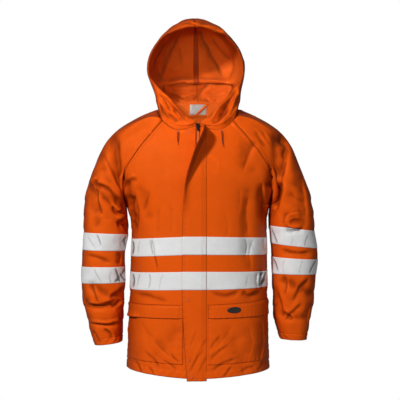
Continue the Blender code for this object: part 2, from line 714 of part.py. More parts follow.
def turned(name, profile, place, slot, steps=12):
    """A turned piece: a closed profile of (radius, height) in millimetres, spun about Z."""
    bm = bmesh.new()
    corners = [bm.verts.new((radius * MM, 0, height * MM)) for radius, height in profile]
    for first, second in zip(corners, corners[1:] + corners[:1]):
        bm.edges.new((first, second))
    mesh = bpy.data.meshes.new(name)
    bm.to_mesh(mesh)
    bm.free()
    piece = add(name, mesh, slot)
    piece.matrix_world = place
    screw = piece.modifiers.new("turn", "SCREW")
    screw.steps = screw.render_steps = steps
    screw.use_merge_vertices = True
    screw.merge_threshold = 1e-5
    return piece


def hard_box(bm, size, centre):
    """A box in a bmesh, in millimetres."""
    made = bmesh.ops.create_cube(bm, size=1)["verts"]
    bmesh.ops.scale(bm, vec=Vector(size) * MM, verts=made)
    bmesh.ops.translate(bm, vec=Vector(centre) * MM, verts=made)
    return made


def hard_rod(bm, radius, length, centre, segments=16):
    """A cylinder along X in a bmesh, in millimetres."""
    made = bmesh.ops.create_cone(
        bm, cap_ends=True, segments=segments, radius1=radius * MM, radius2=radius * MM, depth=length * MM
    )["verts"]
    bmesh.ops.rotate(bm, cent=(0, 0, 0), matrix=Matrix.Rotation(math.pi / 2, 3, "Y"), verts=made)
    bmesh.ops.translate(bm, vec=Vector(centre) * MM, verts=made)
    return made


def solid_from(name, build, place, slot=None):
    """An object whose mesh a function fills in; with no slot it is a cutter."""
    bm = bmesh.new()
    build(bm)
    mesh = bpy.data.meshes.new(name)
    bm.to_mesh(mesh)
    bm.free()
    if slot is None:
        made = bpy.data.objects.new(name, mesh)
        bpy.data.collections["cutters"].objects.link(made)
        made.hide_render = True
        made.display_type = "WIRE"
    else:
        made = add(name, mesh, slot)
    made.matrix_world = place
    return made


def combine(piece, other, operation):
    change = piece.modifiers.new(operation.lower(), "BOOLEAN")
    change.operation = operation
    change.solver = "EXACT"
    change.object = other


def zip_slider():
    """The slider's plate with two ears and a pin, and the pull tab that swings on the pin."""
    s, p = SLIDER, PULL
    place = seat(0, s["height"], SEAM_GAP)
    pin_y, pin_z = -s["length"] / 2 + 2.6, s["thick"] + p["stand_off"]
    ear_x = s["width"] / 2 - s["ear"] / 2
    ear_size = (s["ear"], 3.4, p["stand_off"] + 2.4)

    def plate(bm):
        hard_box(bm, (s["width"], s["length"], s["thick"]), (0, 0, s["thick"] / 2))
        bmesh.ops.bevel(bm, geom=bm.edges, offset=0.8 * MM, segments=2, profile=0.5, affect="EDGES")

    slider = solid_from("zip_slider", plate, place, "dark_hardware")
    for name, sign in SIDES.items():
        def ear(bm, sign=sign):
            hard_box(bm, ear_size, (sign * ear_x, pin_y, s["thick"] - 0.8 + ear_size[2] / 2))

        combine(slider, solid_from(f"ear_{name}", ear, place), "UNION")
    pin = solid_from("pin", lambda bm: hard_rod(bm, s["pin"], 2 * ear_x, (0, pin_y, pin_z)), place)
    combine(slider, pin, "UNION")

    tab_length = p["length"] - 1.0
    tab_centre = (0, pin_y - 1.0 - tab_length / 2, pin_z)
    tab_size = (p["width"], tab_length, p["thick"])
    tab = solid_from("zip_pull", lambda bm: hard_box(bm, tab_size, tab_centre), place, "dark_hardware")
    eye = solid_from("eye", lambda bm: hard_rod(bm, p["eye"], p["width"], (0, pin_y, pin_z)), place)
    bore = solid_from("bore", lambda bm: hard_rod(bm, p["bore"], p["width"] + 2, (0, pin_y, pin_z)), place)
    combine(tab, eye, "UNION")
    combine(tab, bore, "DIFFERENCE")


def stud(bm):
    """A press stud's cap: a low cone, standing on the cloth."""
    bmesh.ops.create_cone(
        bm, cap_ends=True, segments=16, radius1=STUD_RADIUS * MM, radius2=STUD_TOP_RADIUS * MM,
        depth=STUD_HEIGHT * MM, matrix=Matrix.Translation((0, 0, STUD_HEIGHT / 2 * MM)),
    )


def studs():
    for name, carrier, x, height in STUDS:
        lift = SEAM_GAP + (FLAP_LIFT + FLAP_WALL if carrier == "storm_flap" else 0)
        solid_from(name, stud, seat(x, height, lift), "snap_metal")


def cord_points(route):
    """The cord's middle, as points in millimetres."""
    return [(x, front_y(x, z) - off, z) for x, off, z in zip(route["x"], route["stand_off"], route["z"])]


def drawcords():
    for name, route in CORD_ROUTES.items():
        chosen = np.array(cord_points(route))
        stations = np.arange(len(chosen))
        line = smooth(stations, chosen, np.linspace(0, stations[-1], 2 * len(chosen)))
        curve = bpy.data.curves.new(f"drawcord_{name}", "CURVE")
        curve.dimensions = "3D"
        curve.bevel_depth = CORD / 2 * MM
        curve.bevel_resolution = 2
        curve.use_fill_caps = True
        spline = curve.splines.new("POLY")
        spline.points.add(len(line) - 1)
        for point, place in zip(spline.points, line):
            point.co = (*(place * MM), 1)
        curve.materials.append(material("cord"))
        bpy.data.collections["jacket"].objects.link(bpy.data.objects.new(f"drawcord_{name}", curve))

        run = Vector(line[-1] - line[-2]).normalized()
        centre = (Vector(line[-1]) + run * (KNOT + SEAM_GAP)) * MM
        solid_from(
            f"cord_knot_{name}",
            lambda bm: bmesh.ops.create_uvsphere(bm, u_segments=10, v_segments=6, radius=KNOT * MM),
            Matrix.Translation(centre),
            "cord",
        )
        e = EYELET
        ring = ((e["hole"], e["thick"]), (e["outer"] - 0.4, e["thick"]), (e["outer"], 0), (e["hole"], 0))
        turned(f"eyelet_{name}", ring, seat(route["x"][0], route["z"][0], SEAM_GAP), "dark_hardware")


def neck_label():
    """A blank label on the inside of the collar band, with the hanging loop across it."""
    spreads = [spread for spread in np.array(BACK_SHARES) if spread <= 0.3]
    spreads = sorted({*spreads, *(-spread for spread in spreads)})
    behind = -(WALL + SEAM_GAP + 0.1)
    grid = formed(band, spreads, (0.05, 0.95), -1, behind)
    cloth("neck_label", grid, -1, "label_cloth", 0.8)
    foot, top = formed(band, (-0.05, 0.3), (0.02, 1.0), -1, behind - 0.8 - SEAM_GAP)[(0, 1), (0, 1)]
    across = np.array((5.0, 0, 0))
    middles = [foot + (top - foot) * share for share in (0, 0.5, 1)]
    grid = np.array([[middle - across / 2, middle + across / 2] for middle in middles])
    cloth("hanger_loop", grid, -1, "shell_fabric", 0.8)


def badge():
    """A plain dark badge on the left pocket's flap."""
    side = 1
    ends = SHARES[POCKET_FLAP_SHARES["left"][0]], SHARES[POCKET_FLAP_SHARES["left"][1]]
    shares, rows = np.linspace(0.205, 0.343, 4), (-570, -555)
    share, row = np.meshgrid(shares, rows)
    lift = pocket_flap_lift(share, row, ends) + WALL + 0.5
    grid = formed(front_surface(side), shares, rows, side, lift)
    cloth("pocket_badge", grid, side, "dark_hardware", 0.8, True)


def main():
    for old in list(bpy.data.objects):
        bpy.data.objects.remove(old)
    for name in ("jacket", "cutters"):
        bpy.context.scene.collection.children.link(bpy.data.collections.new(name))
    body_panels()
    sleeves()
    body_tapes()
    collar()
    flap()
    pockets()
    zipper()
    zip_slider()
    studs()
    drawcords()
    neck_label()
    badge()


main()
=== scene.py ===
# %% [markdown]
# # A hooded hi-vis rain jacket, filled out as if worn
#
# The jacket is stiff coated polyester in fluorescent orange. It has raglan sleeves, two rings of
# reflective tape round the body and each sleeve, patch pockets with flaps, a zip under a storm flap and
# a hood on a collar band.
# Cloth could be simulated over a figure, but then nothing ties it to the solids that carry its size.
# So every cloth piece here is a fine grid laid on the same surfaces as its solid. Folds, seams and
# crumples press it in or out along its normal, and Solidify gives it a wall.

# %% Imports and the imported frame
import json
import math
from functools import partial

import bmesh
import bpy
import numpy as np
from mathutils import Matrix, Vector

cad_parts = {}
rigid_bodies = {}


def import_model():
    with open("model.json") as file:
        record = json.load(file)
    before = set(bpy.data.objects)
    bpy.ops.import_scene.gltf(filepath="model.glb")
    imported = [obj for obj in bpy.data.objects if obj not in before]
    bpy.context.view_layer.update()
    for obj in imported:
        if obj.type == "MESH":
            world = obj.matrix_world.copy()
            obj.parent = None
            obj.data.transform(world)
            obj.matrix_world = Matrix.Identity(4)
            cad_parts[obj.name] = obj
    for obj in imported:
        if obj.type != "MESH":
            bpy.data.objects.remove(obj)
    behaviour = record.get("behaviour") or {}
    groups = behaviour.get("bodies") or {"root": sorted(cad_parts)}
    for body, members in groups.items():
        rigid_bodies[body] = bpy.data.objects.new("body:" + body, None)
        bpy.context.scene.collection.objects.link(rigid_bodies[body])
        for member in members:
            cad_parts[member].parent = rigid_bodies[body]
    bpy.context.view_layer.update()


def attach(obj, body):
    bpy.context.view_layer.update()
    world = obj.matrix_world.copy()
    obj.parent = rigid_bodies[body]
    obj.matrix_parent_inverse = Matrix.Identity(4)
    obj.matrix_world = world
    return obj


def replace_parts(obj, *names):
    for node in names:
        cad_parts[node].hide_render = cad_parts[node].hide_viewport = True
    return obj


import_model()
MM = 0.001  # the tables below are in millimetres
SIDES = {"right": -1, "left": 1}  # the wearer's right is -X

# %% [markdown]
# ## The camera
# A garment is shown from straight ahead, at the height of its middle and from a few metres away, so that
# near and far parts keep their proportions. A long lens does that; the frame is as tall as the jacket
# plus a margin.

# %% Camera
VIEWER = np.array((5.8, -3200.0, -255.0))
FRAME_HALF = 580.0  # half the frame's height at the jacket's middle


def linked(name, data):
    """A new object with this data, put in the scene."""
    made = bpy.data.objects.new(name, data)
    bpy.context.scene.collection.objects.link(made)
    return made


camera = linked("camera", bpy.data.cameras.new("camera"))
camera.data.angle = 2 * math.atan(FRAME_HALF / abs(VIEWER[1]))
camera.data.clip_end = 50
camera.location = Vector(VIEWER) * MM
camera.rotation_euler = (math.radians(90), 0, 0)
bpy.context.scene.camera = camera
print("lens", round(camera.data.lens, 1), "mm")


# %% [markdown]
# ## Tables and curves
# A pattern cutter works from a few measured sections. Here each table has named columns, and `smooth`
# runs a cubic curve through them, so a handful of rows gives a surface that can be read at any fineness.

# %% Tables and curves
def table(names, *rows):
    """A table as a dictionary of columns."""
    return dict(zip(names.split(), np.array(rows, float).T))


def smooth(knots, values, places, first_slope=None, last_slope=None):
    """A cubic curve through values at rising knots. It runs on straight past its ends."""
    knots, values = np.asarray(knots, float), np.asarray(values, float)
    slopes = np.gradient(values, knots, axis=0)
    if first_slope is not None:
        slopes[0] = first_slope
    if last_slope is not None:
        slopes[-1] = last_slope
    places = np.asarray(places, float)
    inside = np.clip(places, knots[0], knots[-1])
    i = np.clip(np.searchsorted(knots, inside, side="right") - 1, 0, len(knots) - 2)
    column_shape = places.shape + (1,) * (values.ndim - 1)
    span = (knots[i + 1] - knots[i]).reshape(column_shape)
    t = (inside - knots[i]).reshape(column_shape) / span
    curve = (
        (2 * t**3 - 3 * t**2 + 1) * values[i]
        + (t**3 - 2 * t**2 + t) * span * slopes[i]
        + (3 * t**2 - 2 * t**3) * values[i + 1]
        + (t**3 - t**2) * span * slopes[i + 1]
    )
    past = (places - inside).reshape(column_shape)
    return curve + past * np.where(past < 0, slopes[0], slopes[-1])


def along(columns, name, places):
    """A table's column, read along its first one."""
    return smooth(next(iter(columns.values())), columns[name], places)


def ease(t):
    """0 up to t = 0, 1 from t = 1, smooth between."""
    t = np.clip(t, 0, 1)
    return t * t * (3 - 2 * t)


def power(value, exponent):
    """A power that keeps the value's sign."""
    return np.sign(value) * np.abs(value) ** exponent


def points(x, y, z):
    """Points from three coordinates, each a number or a grid."""
    return np.stack(np.broadcast_arrays(x, y, z), axis=-1).astype(float)


# %% [markdown]
# ## The body under the cloth
# The trunk of a worn jacket is close to a superellipse at every height: flatter than an ellipse in front
# and behind, with rounder corners at the sides. The raglan seams run from the armpit to the neck, and they
# cut the trunk into two fronts, a back and the sleeves' upper edges. All of these are functions of two
# shares, so a neighbour's edge is read from the same curve and always meets.

# %% The body's sections
ROUND = 2.4  # superellipse power of the body's cross-section
ZIP_EDGE = 4.5  # from the zip's centre line to each front's edge
ARMPIT, NECK_FRONT, NECK_BACK, NECK_DIP = -272.0, -43.0, -4.0, 15.0
HEM = -750.0

# half its width, how deep it is in front and behind, how far its centre leans to +X, and how far a level
# row drops or rises by the time it reaches each side
BODY = table(
    "height half_width front back lean right_rise left_rise",
    (-750, 206, 150, 150, 0.0, 17, 14),
    (-700, 204, 150, 149, 0.5, 8, 6),
    (-640, 202, 149, 149, 1.0, 2, 3),
    (-584, 200, 148, 148, 1.5, 0, 4),
    (-546, 199, 148, 148, 1.5, -1, 9),
    (-504, 198, 147, 146, 2.0, -5, 3),
    (-454, 197, 145, 144, 2.5, -6, -3),
    (-407, 196, 143, 142, 3.0, -9, -3),
    (-357, 195, 141, 140, 3.5, -9, -5),
    (-310, 197, 139, 139, 2.0, -4, -2),
    (-272, 206, 138, 138, 0.0, 0, 0),
    (-255, 212, 137, 138, 0.0, 0, 0),
    (-230, 225, 136, 138, 0.0, 0, 0),
    (-183, 235, 133, 136, 0.0, 0, 0),
    (-119, 240, 117, 126, 0.0, 0, 0),
    (-60, 240, 95, 106, 0.0, 0, 0),
    (-30, 240, 82, 94, 0.0, 0, 0),
    (0, 240, 74, 83, 0.0, 0, 0),
)
FRONT_SEAM = table(
    "share height x",
    (0.00, ARMPIT, 206), (0.09, -255, 211), (0.22, -230, 214), (0.38, -183, 211),
    (0.62, -119, 174), (0.82, -72, 137), (1.00, -29, 100),
)
BACK_SEAM = table(
    "share height x",
    (0.00, ARMPIT, 206), (0.09, -255, 211), (0.22, -230, 214), (0.38, -180, 208),
    (0.62, -115, 165), (0.82, -58, 120), (1.00, 1, 75),
)
SHOULDER_NECK = table("share x y height", (0.33, 112, -38, -6), (0.6, 115, 4, 9), (0.82, 103, 45, 9))


def body(side, face, angle, height):
    """The body's cross-section: face is -1 in front and 1 behind, and the angle is 90 degrees at the side."""
    edge = ZIP_EDGE if face < 0 else 0.0
    sine, cosine = power(np.sin(angle), 2 / ROUND), power(np.cos(angle), 2 / ROUND)
    half = along(BODY, "half_width", height)
    deep = along(BODY, "front" if face < 0 else "back", height)
    lean = along(BODY, "lean", height)
    return points(side * (edge + (half - edge) * sine) + lean * sine, face * deep * cosine, height)


def seam_angle(face, share):
    """Where a raglan seam lies on the body's cross-section."""
    seam, edge = (FRONT_SEAM, ZIP_EDGE) if face < 0 else (BACK_SEAM, 0.0)
    half = along(BODY, "half_width", along(seam, "height", share))
    reach = (along(seam, "x", share) - edge) / (half - edge)
    return np.arcsin(np.clip(reach, 0, 1) ** (ROUND / 2))


# %% [markdown]
# ## Fronts, back and neckline
# A row of a front is named by its height at the zip. Below the armpit it runs level to the side seam,
# and above it climbs along the raglan seam. The neckline is read from the panels' top rows, so the
# collar band starts exactly on it.

# %% Panels and neckline
def panel(side, face, shares, rows):
    """A front, or half the back: a row is its height at the centre line, and high rows end on the seam."""
    share, row = np.meshgrid(shares, rows)
    neck, seam = (NECK_FRONT, FRONT_SEAM) if face < 0 else (NECK_BACK, BACK_SEAM)
    climb = np.maximum(row - ARMPIT, 0) / (neck - ARMPIT)
    quarter = np.where(climb > 0, seam_angle(face, climb), np.pi / 2)
    rise = along(BODY, "right_rise" if side < 0 else "left_rise", np.minimum(row, ARMPIT))
    below = row + rise * power(np.sin(share * np.pi / 2), 1.2)
    above = row + (along(seam, "height", climb) - row) * share**2
    if face < 0:
        above = above - NECK_DIP * climb**3 * np.sin(np.pi * share)
    return body(side, face, share * quarter, np.where(climb > 0, above, below))


def back(spreads, rows):
    """The whole back, from -1 at the wearer's right side to 1 at the left."""
    spreads = np.asarray(spreads, float)
    right, left = panel(-1, 1, -spreads, rows), panel(1, 1, spreads, rows)
    return np.where((spreads < 0)[None, :, None], right, left)


def neckline(side, places):
    """The neck edge of one half: 0 at the zip, 1 and 2 at the raglan seams, 3 at the middle of the back."""
    places = np.asarray(places, float)
    front = panel(side, -1, np.clip(places, -0.1, 1), [NECK_FRONT])[0]
    rear = panel(side, 1, np.clip(3 - places, -0.1, 1), [NECK_BACK])[0]
    before, first = panel(side, -1, [0.98, 1.0], [NECK_FRONT])[0]
    after, last = panel(side, 1, [0.98, 1.0], [NECK_BACK])[0]
    shoulder = points(side * SHOULDER_NECK["x"], SHOULDER_NECK["y"], SHOULDER_NECK["height"])
    over = smooth(
        np.concatenate([[0], SHOULDER_NECK["share"], [1]]),
        np.concatenate([[first], shoulder, [last]]),
        np.clip(places - 1, 0, 1),
        first_slope=(first - before) / 0.02,
        last_slope=(after - last) / 0.02,
    )
    place = places[:, None]
    return np.where(place <= 1, front, np.where(place >= 2, rear, over))


half_neck = np.diff(neckline(1, np.linspace(0, 3, 61)), axis=0)
print("neckline half", round(float(np.linalg.norm(half_neck, axis=1).sum())), "mm")

# %% [markdown]
# ## Sleeves
# A worn sleeve is a tube of uneven rings: it hangs from the raglan seam, is fullest at the elbow and
# narrows to the cuff. Each ring is given by its end next to the body and its end away from it, as a
# tailor would mark them. The last ring isn't a circle but the raglan seams and the neck edge themselves.

# %% Sleeves
SLEEVE_ROUND = 2.2
SLEEVE_RIGHT = table(
    "inner_x inner_z outer_x outer_z depth",
    (221, -664, 299, -673, 46),
    (220, -640, 311, -644, 52),
    (217, -603, 319, -603, 60),
    (214, -550, 333, -548, 66),
    (212, -491, 336, -494, 70),
    (212, -446, 336, -446, 72),
    (211, -400, 334, -398, 73),
    (202, -353, 331, -348, 75),
    (202, -318, 331, -300, 77),
    (205, -297, 327, -243, 79),
    (206, -285, 303, -165, 80),
    (207, -278, 258, -78, 78),
)
SLEEVE_LEFT = table(
    "inner_x inner_z outer_x outer_z depth",
    (237, -655, 316, -657, 46),
    (230, -632, 320, -634, 52),
    (221, -603, 325, -603, 59),
    (217, -545, 336, -545, 65),
    (214, -466, 341, -468, 70),
    (213, -418, 347, -426, 72),
    (211, -379, 345, -394, 74),
    (205, -328, 338, -344, 76),
    (203, -306, 334, -290, 78),
    (205, -290, 325, -243, 79),
    (206, -282, 298, -165, 80),
    (207, -277, 256, -78, 78),
)
FRONT_PART, BACK_PART = 0.375, 0.625  # shares round the sleeve's upper ring where the raglan seams end


def sleeve(side, turns, rows):
    """A sleeve: a turn of 0 is under the arm, 0.25 in front and 0.5 outside. A row is a ring of the table."""
    rings = SLEEVE_RIGHT if side < 0 else SLEEVE_LEFT
    turn = np.asarray(turns, float) % 1
    cosine, sine = (power(f(2 * np.pi * turn), 2 / SLEEVE_ROUND) for f in (np.cos, np.sin))
    inner = points(side * rings["inner_x"], 0, rings["inner_z"])[:, None, :]
    outer = points(side * rings["outer_x"], 0, rings["outer_z"])[:, None, :]
    depth = rings["depth"][:, None]
    loops = (inner + outer) / 2 - (outer - inner) / 2 * cosine[None, :, None]
    loops[..., 1] -= depth * sine[None, :]

    front_row = ARMPIT + np.clip(turn / FRONT_PART, 0, 1) * (NECK_FRONT - ARMPIT)
    back_row = ARMPIT + np.clip((1 - turn) / (1 - BACK_PART), 0, 1) * (NECK_BACK - ARMPIT)
    in_front, behind = panel(side, -1, [0.99, 1.0], front_row), panel(side, 1, [0.99, 1.0], back_row)
    over = neckline(side, 1 + np.clip((turn - FRONT_PART) / (BACK_PART - FRONT_PART), 0, 1))
    part = turn[:, None]
    top = np.where(part <= FRONT_PART, in_front[:, 1], np.where(part >= BACK_PART, behind[:, 1], over))
    share = ease((turn - FRONT_PART) / (BACK_PART - FRONT_PART))[:, None]
    onward = (in_front[:, 0] - in_front[:, 1]) * (1 - share) + (behind[:, 0] - behind[:, 1]) * share
    onward /= np.linalg.norm(onward, axis=1, keepdims=True)

    loops = np.concatenate([loops, top[None]])
    middles = loops.mean(axis=1)
    knots = np.concatenate([[0], np.cumsum(np.linalg.norm(np.diff(middles, axis=0), axis=1))])
    reach = np.linalg.norm(loops[-1] - loops[-2], axis=1) / (knots[-1] - knots[-2])
    over_shoulder = np.sin(np.pi * np.clip((turn - FRONT_PART) / (BACK_PART - FRONT_PART), 0, 1))[:, None]
    onward = onward + over_shoulder * (np.array((-0.9 * side, 0, 0.37)) - onward)
    reach *= 0.3 + 0.7 * ease(np.minimum(turn, 1 - turn) / 0.3)
    places = np.interp(rows, np.arange(len(knots)), knots)
    return smooth(knots, loops, places, last_slope=onward * reach[:, None])


# %% [markdown]
# ## Collar band and hood
# The hood of a rain jacket is two mirrored panels joined by a seam over the crown, sewn to a band that
# stands on the neckline. Each row runs from the face opening round the side to the back seam. Near the
# nape the cloth sags forward over the band, which gives the bright shelf seen inside.

# %% Collar band and hood
BAND = table("place height lean", (0, 3, 0), (0.6, 10, 0), (1, 15, 3), (1.6, 22, 5), (2.2, 31, 3), (3, 35, 1))
HOOD = table(
    "front_x front_y front_z side_x side_y side_z back_y back_z",
    (40, -90, -12, 123, -2, 50, 105, 52),
    (66, -82, 20, 127, -2, 68, 116, 70),
    (98, -64, 54, 133, -2, 90, 97, 94),
    (130, -50, 92, 138, 0, 116, 117, 118),
    (135, -48, 124, 137, 5, 148, 132, 152),
    (125, -52, 163, 121, 8, 188, 128, 195),
    (100, -60, 201, 95, 12, 225, 109, 235),
    (66, -67, 224, 59, 15, 256, 84, 259),
    (0, -74, 237, 0, 14, 274, 68, 270),
)
HOOD_LEAN = table("height shift", (40, 0), (110, -6), (190, -6), (280, -9))


def band_half(side, places, shares):
    """The collar band of one half: share 0 on the neckline, 1 under the hood."""
    foot = neckline(side, places)
    outward = foot * (1, 1.3, 0)
    outward /= np.maximum(np.linalg.norm(outward, axis=1, keepdims=True), 1)
    share = np.asarray(shares, float)[:, None, None]
    height = along(BAND, "height", places)[None, :, None]
    lean = along(BAND, "lean", places)[None, :, None]
    return foot[None] + share * lean * outward[None] + share * height * np.array((0, 0, 1))


def band(spreads, shares):
    """The whole collar band, from -3 at the right zip edge round the back to 3 at the left."""
    spreads = np.asarray(spreads, float)
    right, left = (band_half(side, 3 - np.abs(spreads), shares) for side in (-1, 1))
    return np.where((spreads < 0)[None, :, None], right, left)


def hood(side, places, rows):
    """Half the hood: place 0 is its front edge and 3 the middle of its back. Row 0 sits on the band."""
    places = np.asarray(places, float)
    front = points(HOOD["front_x"], HOOD["front_y"], HOOD["front_z"])
    side_point = points(HOOD["side_x"], HOOD["side_y"], HOOD["side_z"])
    rear = points(0, HOOD["back_y"], HOOD["back_z"])
    cheek = front + (side_point - front) * (0.74, 0.26, 0.5)
    nape = side_point + (rear - side_point) * (0.26, 0.74, 0.5)
    level = nape * (-1.7, 0, 0)  # the back and the crown cross the centre seam level
    keys = np.stack([front, cheek, side_point, nape, rear])
    rings = np.swapaxes(smooth((0, 0.75, 1.5, 2.25, 3), keys, places, last_slope=level), 0, 1) * (side, 1, 1)
    sill = band_half(side, places, [0.0, 1.0])
    rise = sill[1] - sill[0]
    gap = np.linalg.norm(rings[0] - sill[1], axis=1, keepdims=True)
    rise *= 0.7 * gap / np.linalg.norm(rise, axis=1, keepdims=True)
    rings = np.concatenate([sill[1:], rings])
    width = np.abs(rings[-2][:, 0])
    crown = rings[-1] - rings[-2]
    crown[:, 0] = -1.4 * rings[-2][:, 0]
    crown[:, 2] *= 1 - np.clip(width / 50, 0, 1)
    grid = smooth(np.arange(len(rings)), rings, rows, first_slope=rise, last_slope=crown)
    grid[..., 0] += np.interp(grid[..., 2], HOOD_LEAN["height"], HOOD_LEAN["shift"])
    return grid


# %% [markdown]
# ## The storm flap
# A strip of doubled cloth is sewn beside the zip and covers it. It lies flat over the bands. Its top has
# come unfastened, and its free edge curls up: low down only the last third is turned, and higher up the
# turn begins nearer and nearer to the seam.

# %% Storm flap
FLAP_SEAM_X, FLAP_LIFT = 24.5, 1.75
CURL_SHARE = 0.3  # how much of its width the turn takes to grow
CURL_STEPS = 24
FLAP = table(
    "height width turn bend",
    (-756, 55, 0, 0.60),
    (-640, 63, 0, 0.60),
    (-560, 67, 0, 0.60),
    (-300, 67, 0, 0.60),
    (-255, 67, 32, 0.60),
    (-212, 67, 55, 0.60),
    (-174, 67, 66, 0.46),
    (-139, 66, 72, 0.28),
    (-104, 66, 76, 0.08),
    (-75, 64, 80, -0.10),
    (-47, 62, 84, -0.25),
)


def front_y(x, height):
    """How far forward the fronts reach at a place seen from in front."""
    half = along(BODY, "half_width", height)
    reach = np.clip((np.abs(x) - ZIP_EDGE) / (half - ZIP_EDGE), 0, 1)
    return -along(BODY, "front", height) * (1 - reach**ROUND) ** (1 / ROUND)


def storm_flap(shares, heights):
    """The storm flap, from its seam at share 0 to its free edge at 1. Past the bend its turn grows."""
    share, height = np.meshgrid(shares, heights)
    width = along(FLAP, "width", height)
    turn = np.radians(np.maximum(along(FLAP, "turn", height), 0))[..., None]
    bend = along(FLAP, "bend", height)[..., None]
    within = (np.arange(CURL_STEPS) + 0.5) / CURL_STEPS
    angle = turn * ease((share[..., None] * within - bend) / CURL_SHARE)
    x = FLAP_SEAM_X - width * share * np.cos(angle).mean(axis=-1)
    out = width * share * np.sin(angle).mean(axis=-1)
    return points(x, front_y(x, height) - FLAP_LIFT - out, height)


# %% [markdown]
# ## Folds
# Stiff coated cloth holds its folds: where a sleeve bends, where the armhole is crowded and where the
# skirt hangs over a pocket. Large ones are troughs drawn from point to point as seen from straight ahead
# or from behind. The same ones press the solids in, so both models keep one form.

# %% Large folds
FOLDS = table(
    "x0 z0 x1 z1 width depth face",
    (-250, -70, -213, -205, 15, 5, -1),
    (-283, -125, -240, -215, 16, 5, -1),
    (-316, -215, -232, -262, 13, 8, -1),
    (-322, -222, -285, -320, 15, 5, -1),
    (-222, -535, -300, -500, 15, 7, -1),
    (-225, -560, -330, -548, 12, 6, -1),
    (224, -75, 212, -205, 13, 8, -1),
    (205, -215, 198, -300, 14, 6, -1),
    (245, -110, 262, -190, 18, -5, -1),
    (250, -300, 300, -318, 12, 6, -1),
    (250, -485, 322, -520, 16, 8, -1),
    (245, -585, 300, -590, 12, 5, -1),
    (-205, -215, -196, -300, 14, 6, -1),
    (-165, -225, -140, -295, 20, 4, -1),
    (135, -100, 152, -165, 20, 4, -1),
    (140, -235, 136, -400, 18, 5, -1),
    (-60, -620, -120, -700, 22, 4, -1),
    (90, -640, 130, -715, 22, 4, -1),
    (-285, -90, -230, -215, 17, 6, 1),
    (-320, -230, -225, -285, 15, 7, 1),
    (-225, -520, -325, -500, 15, 6, 1),
    (262, -80, 222, -215, 16, 7, 1),
    (320, -245, 225, -290, 14, 6, 1),
    (235, -500, 325, -470, 16, 6, 1),
    (-150, -190, -90, -320, 26, 6, 1),
    (155, -180, 100, -330, 26, 6, 1),
    (-60, -560, -90, -720, 26, 5, 1),
    (75, -540, 60, -715, 26, 5, 1),
)


def fold_depth(place, normal):
    """How far the largest folds press in each point, from where it lies seen from in front or behind."""
    total = np.zeros(place.shape[:-1])
    spot = place[..., (0, 2)]
    for x0, z0, x1, z1, width, depth, face in zip(*FOLDS.values()):
        start, run = np.array((x0, z0)), np.array((x1 - x0, z1 - z0))
        share = np.clip((spot - start) @ run / (run @ run), 0, 1)
        away = np.linalg.norm(spot - start - share[..., None] * run, axis=-1)
        total += depth * np.exp(-((away / width) ** 2)) * ease(1.6 * face * normal[..., 1])
    return total
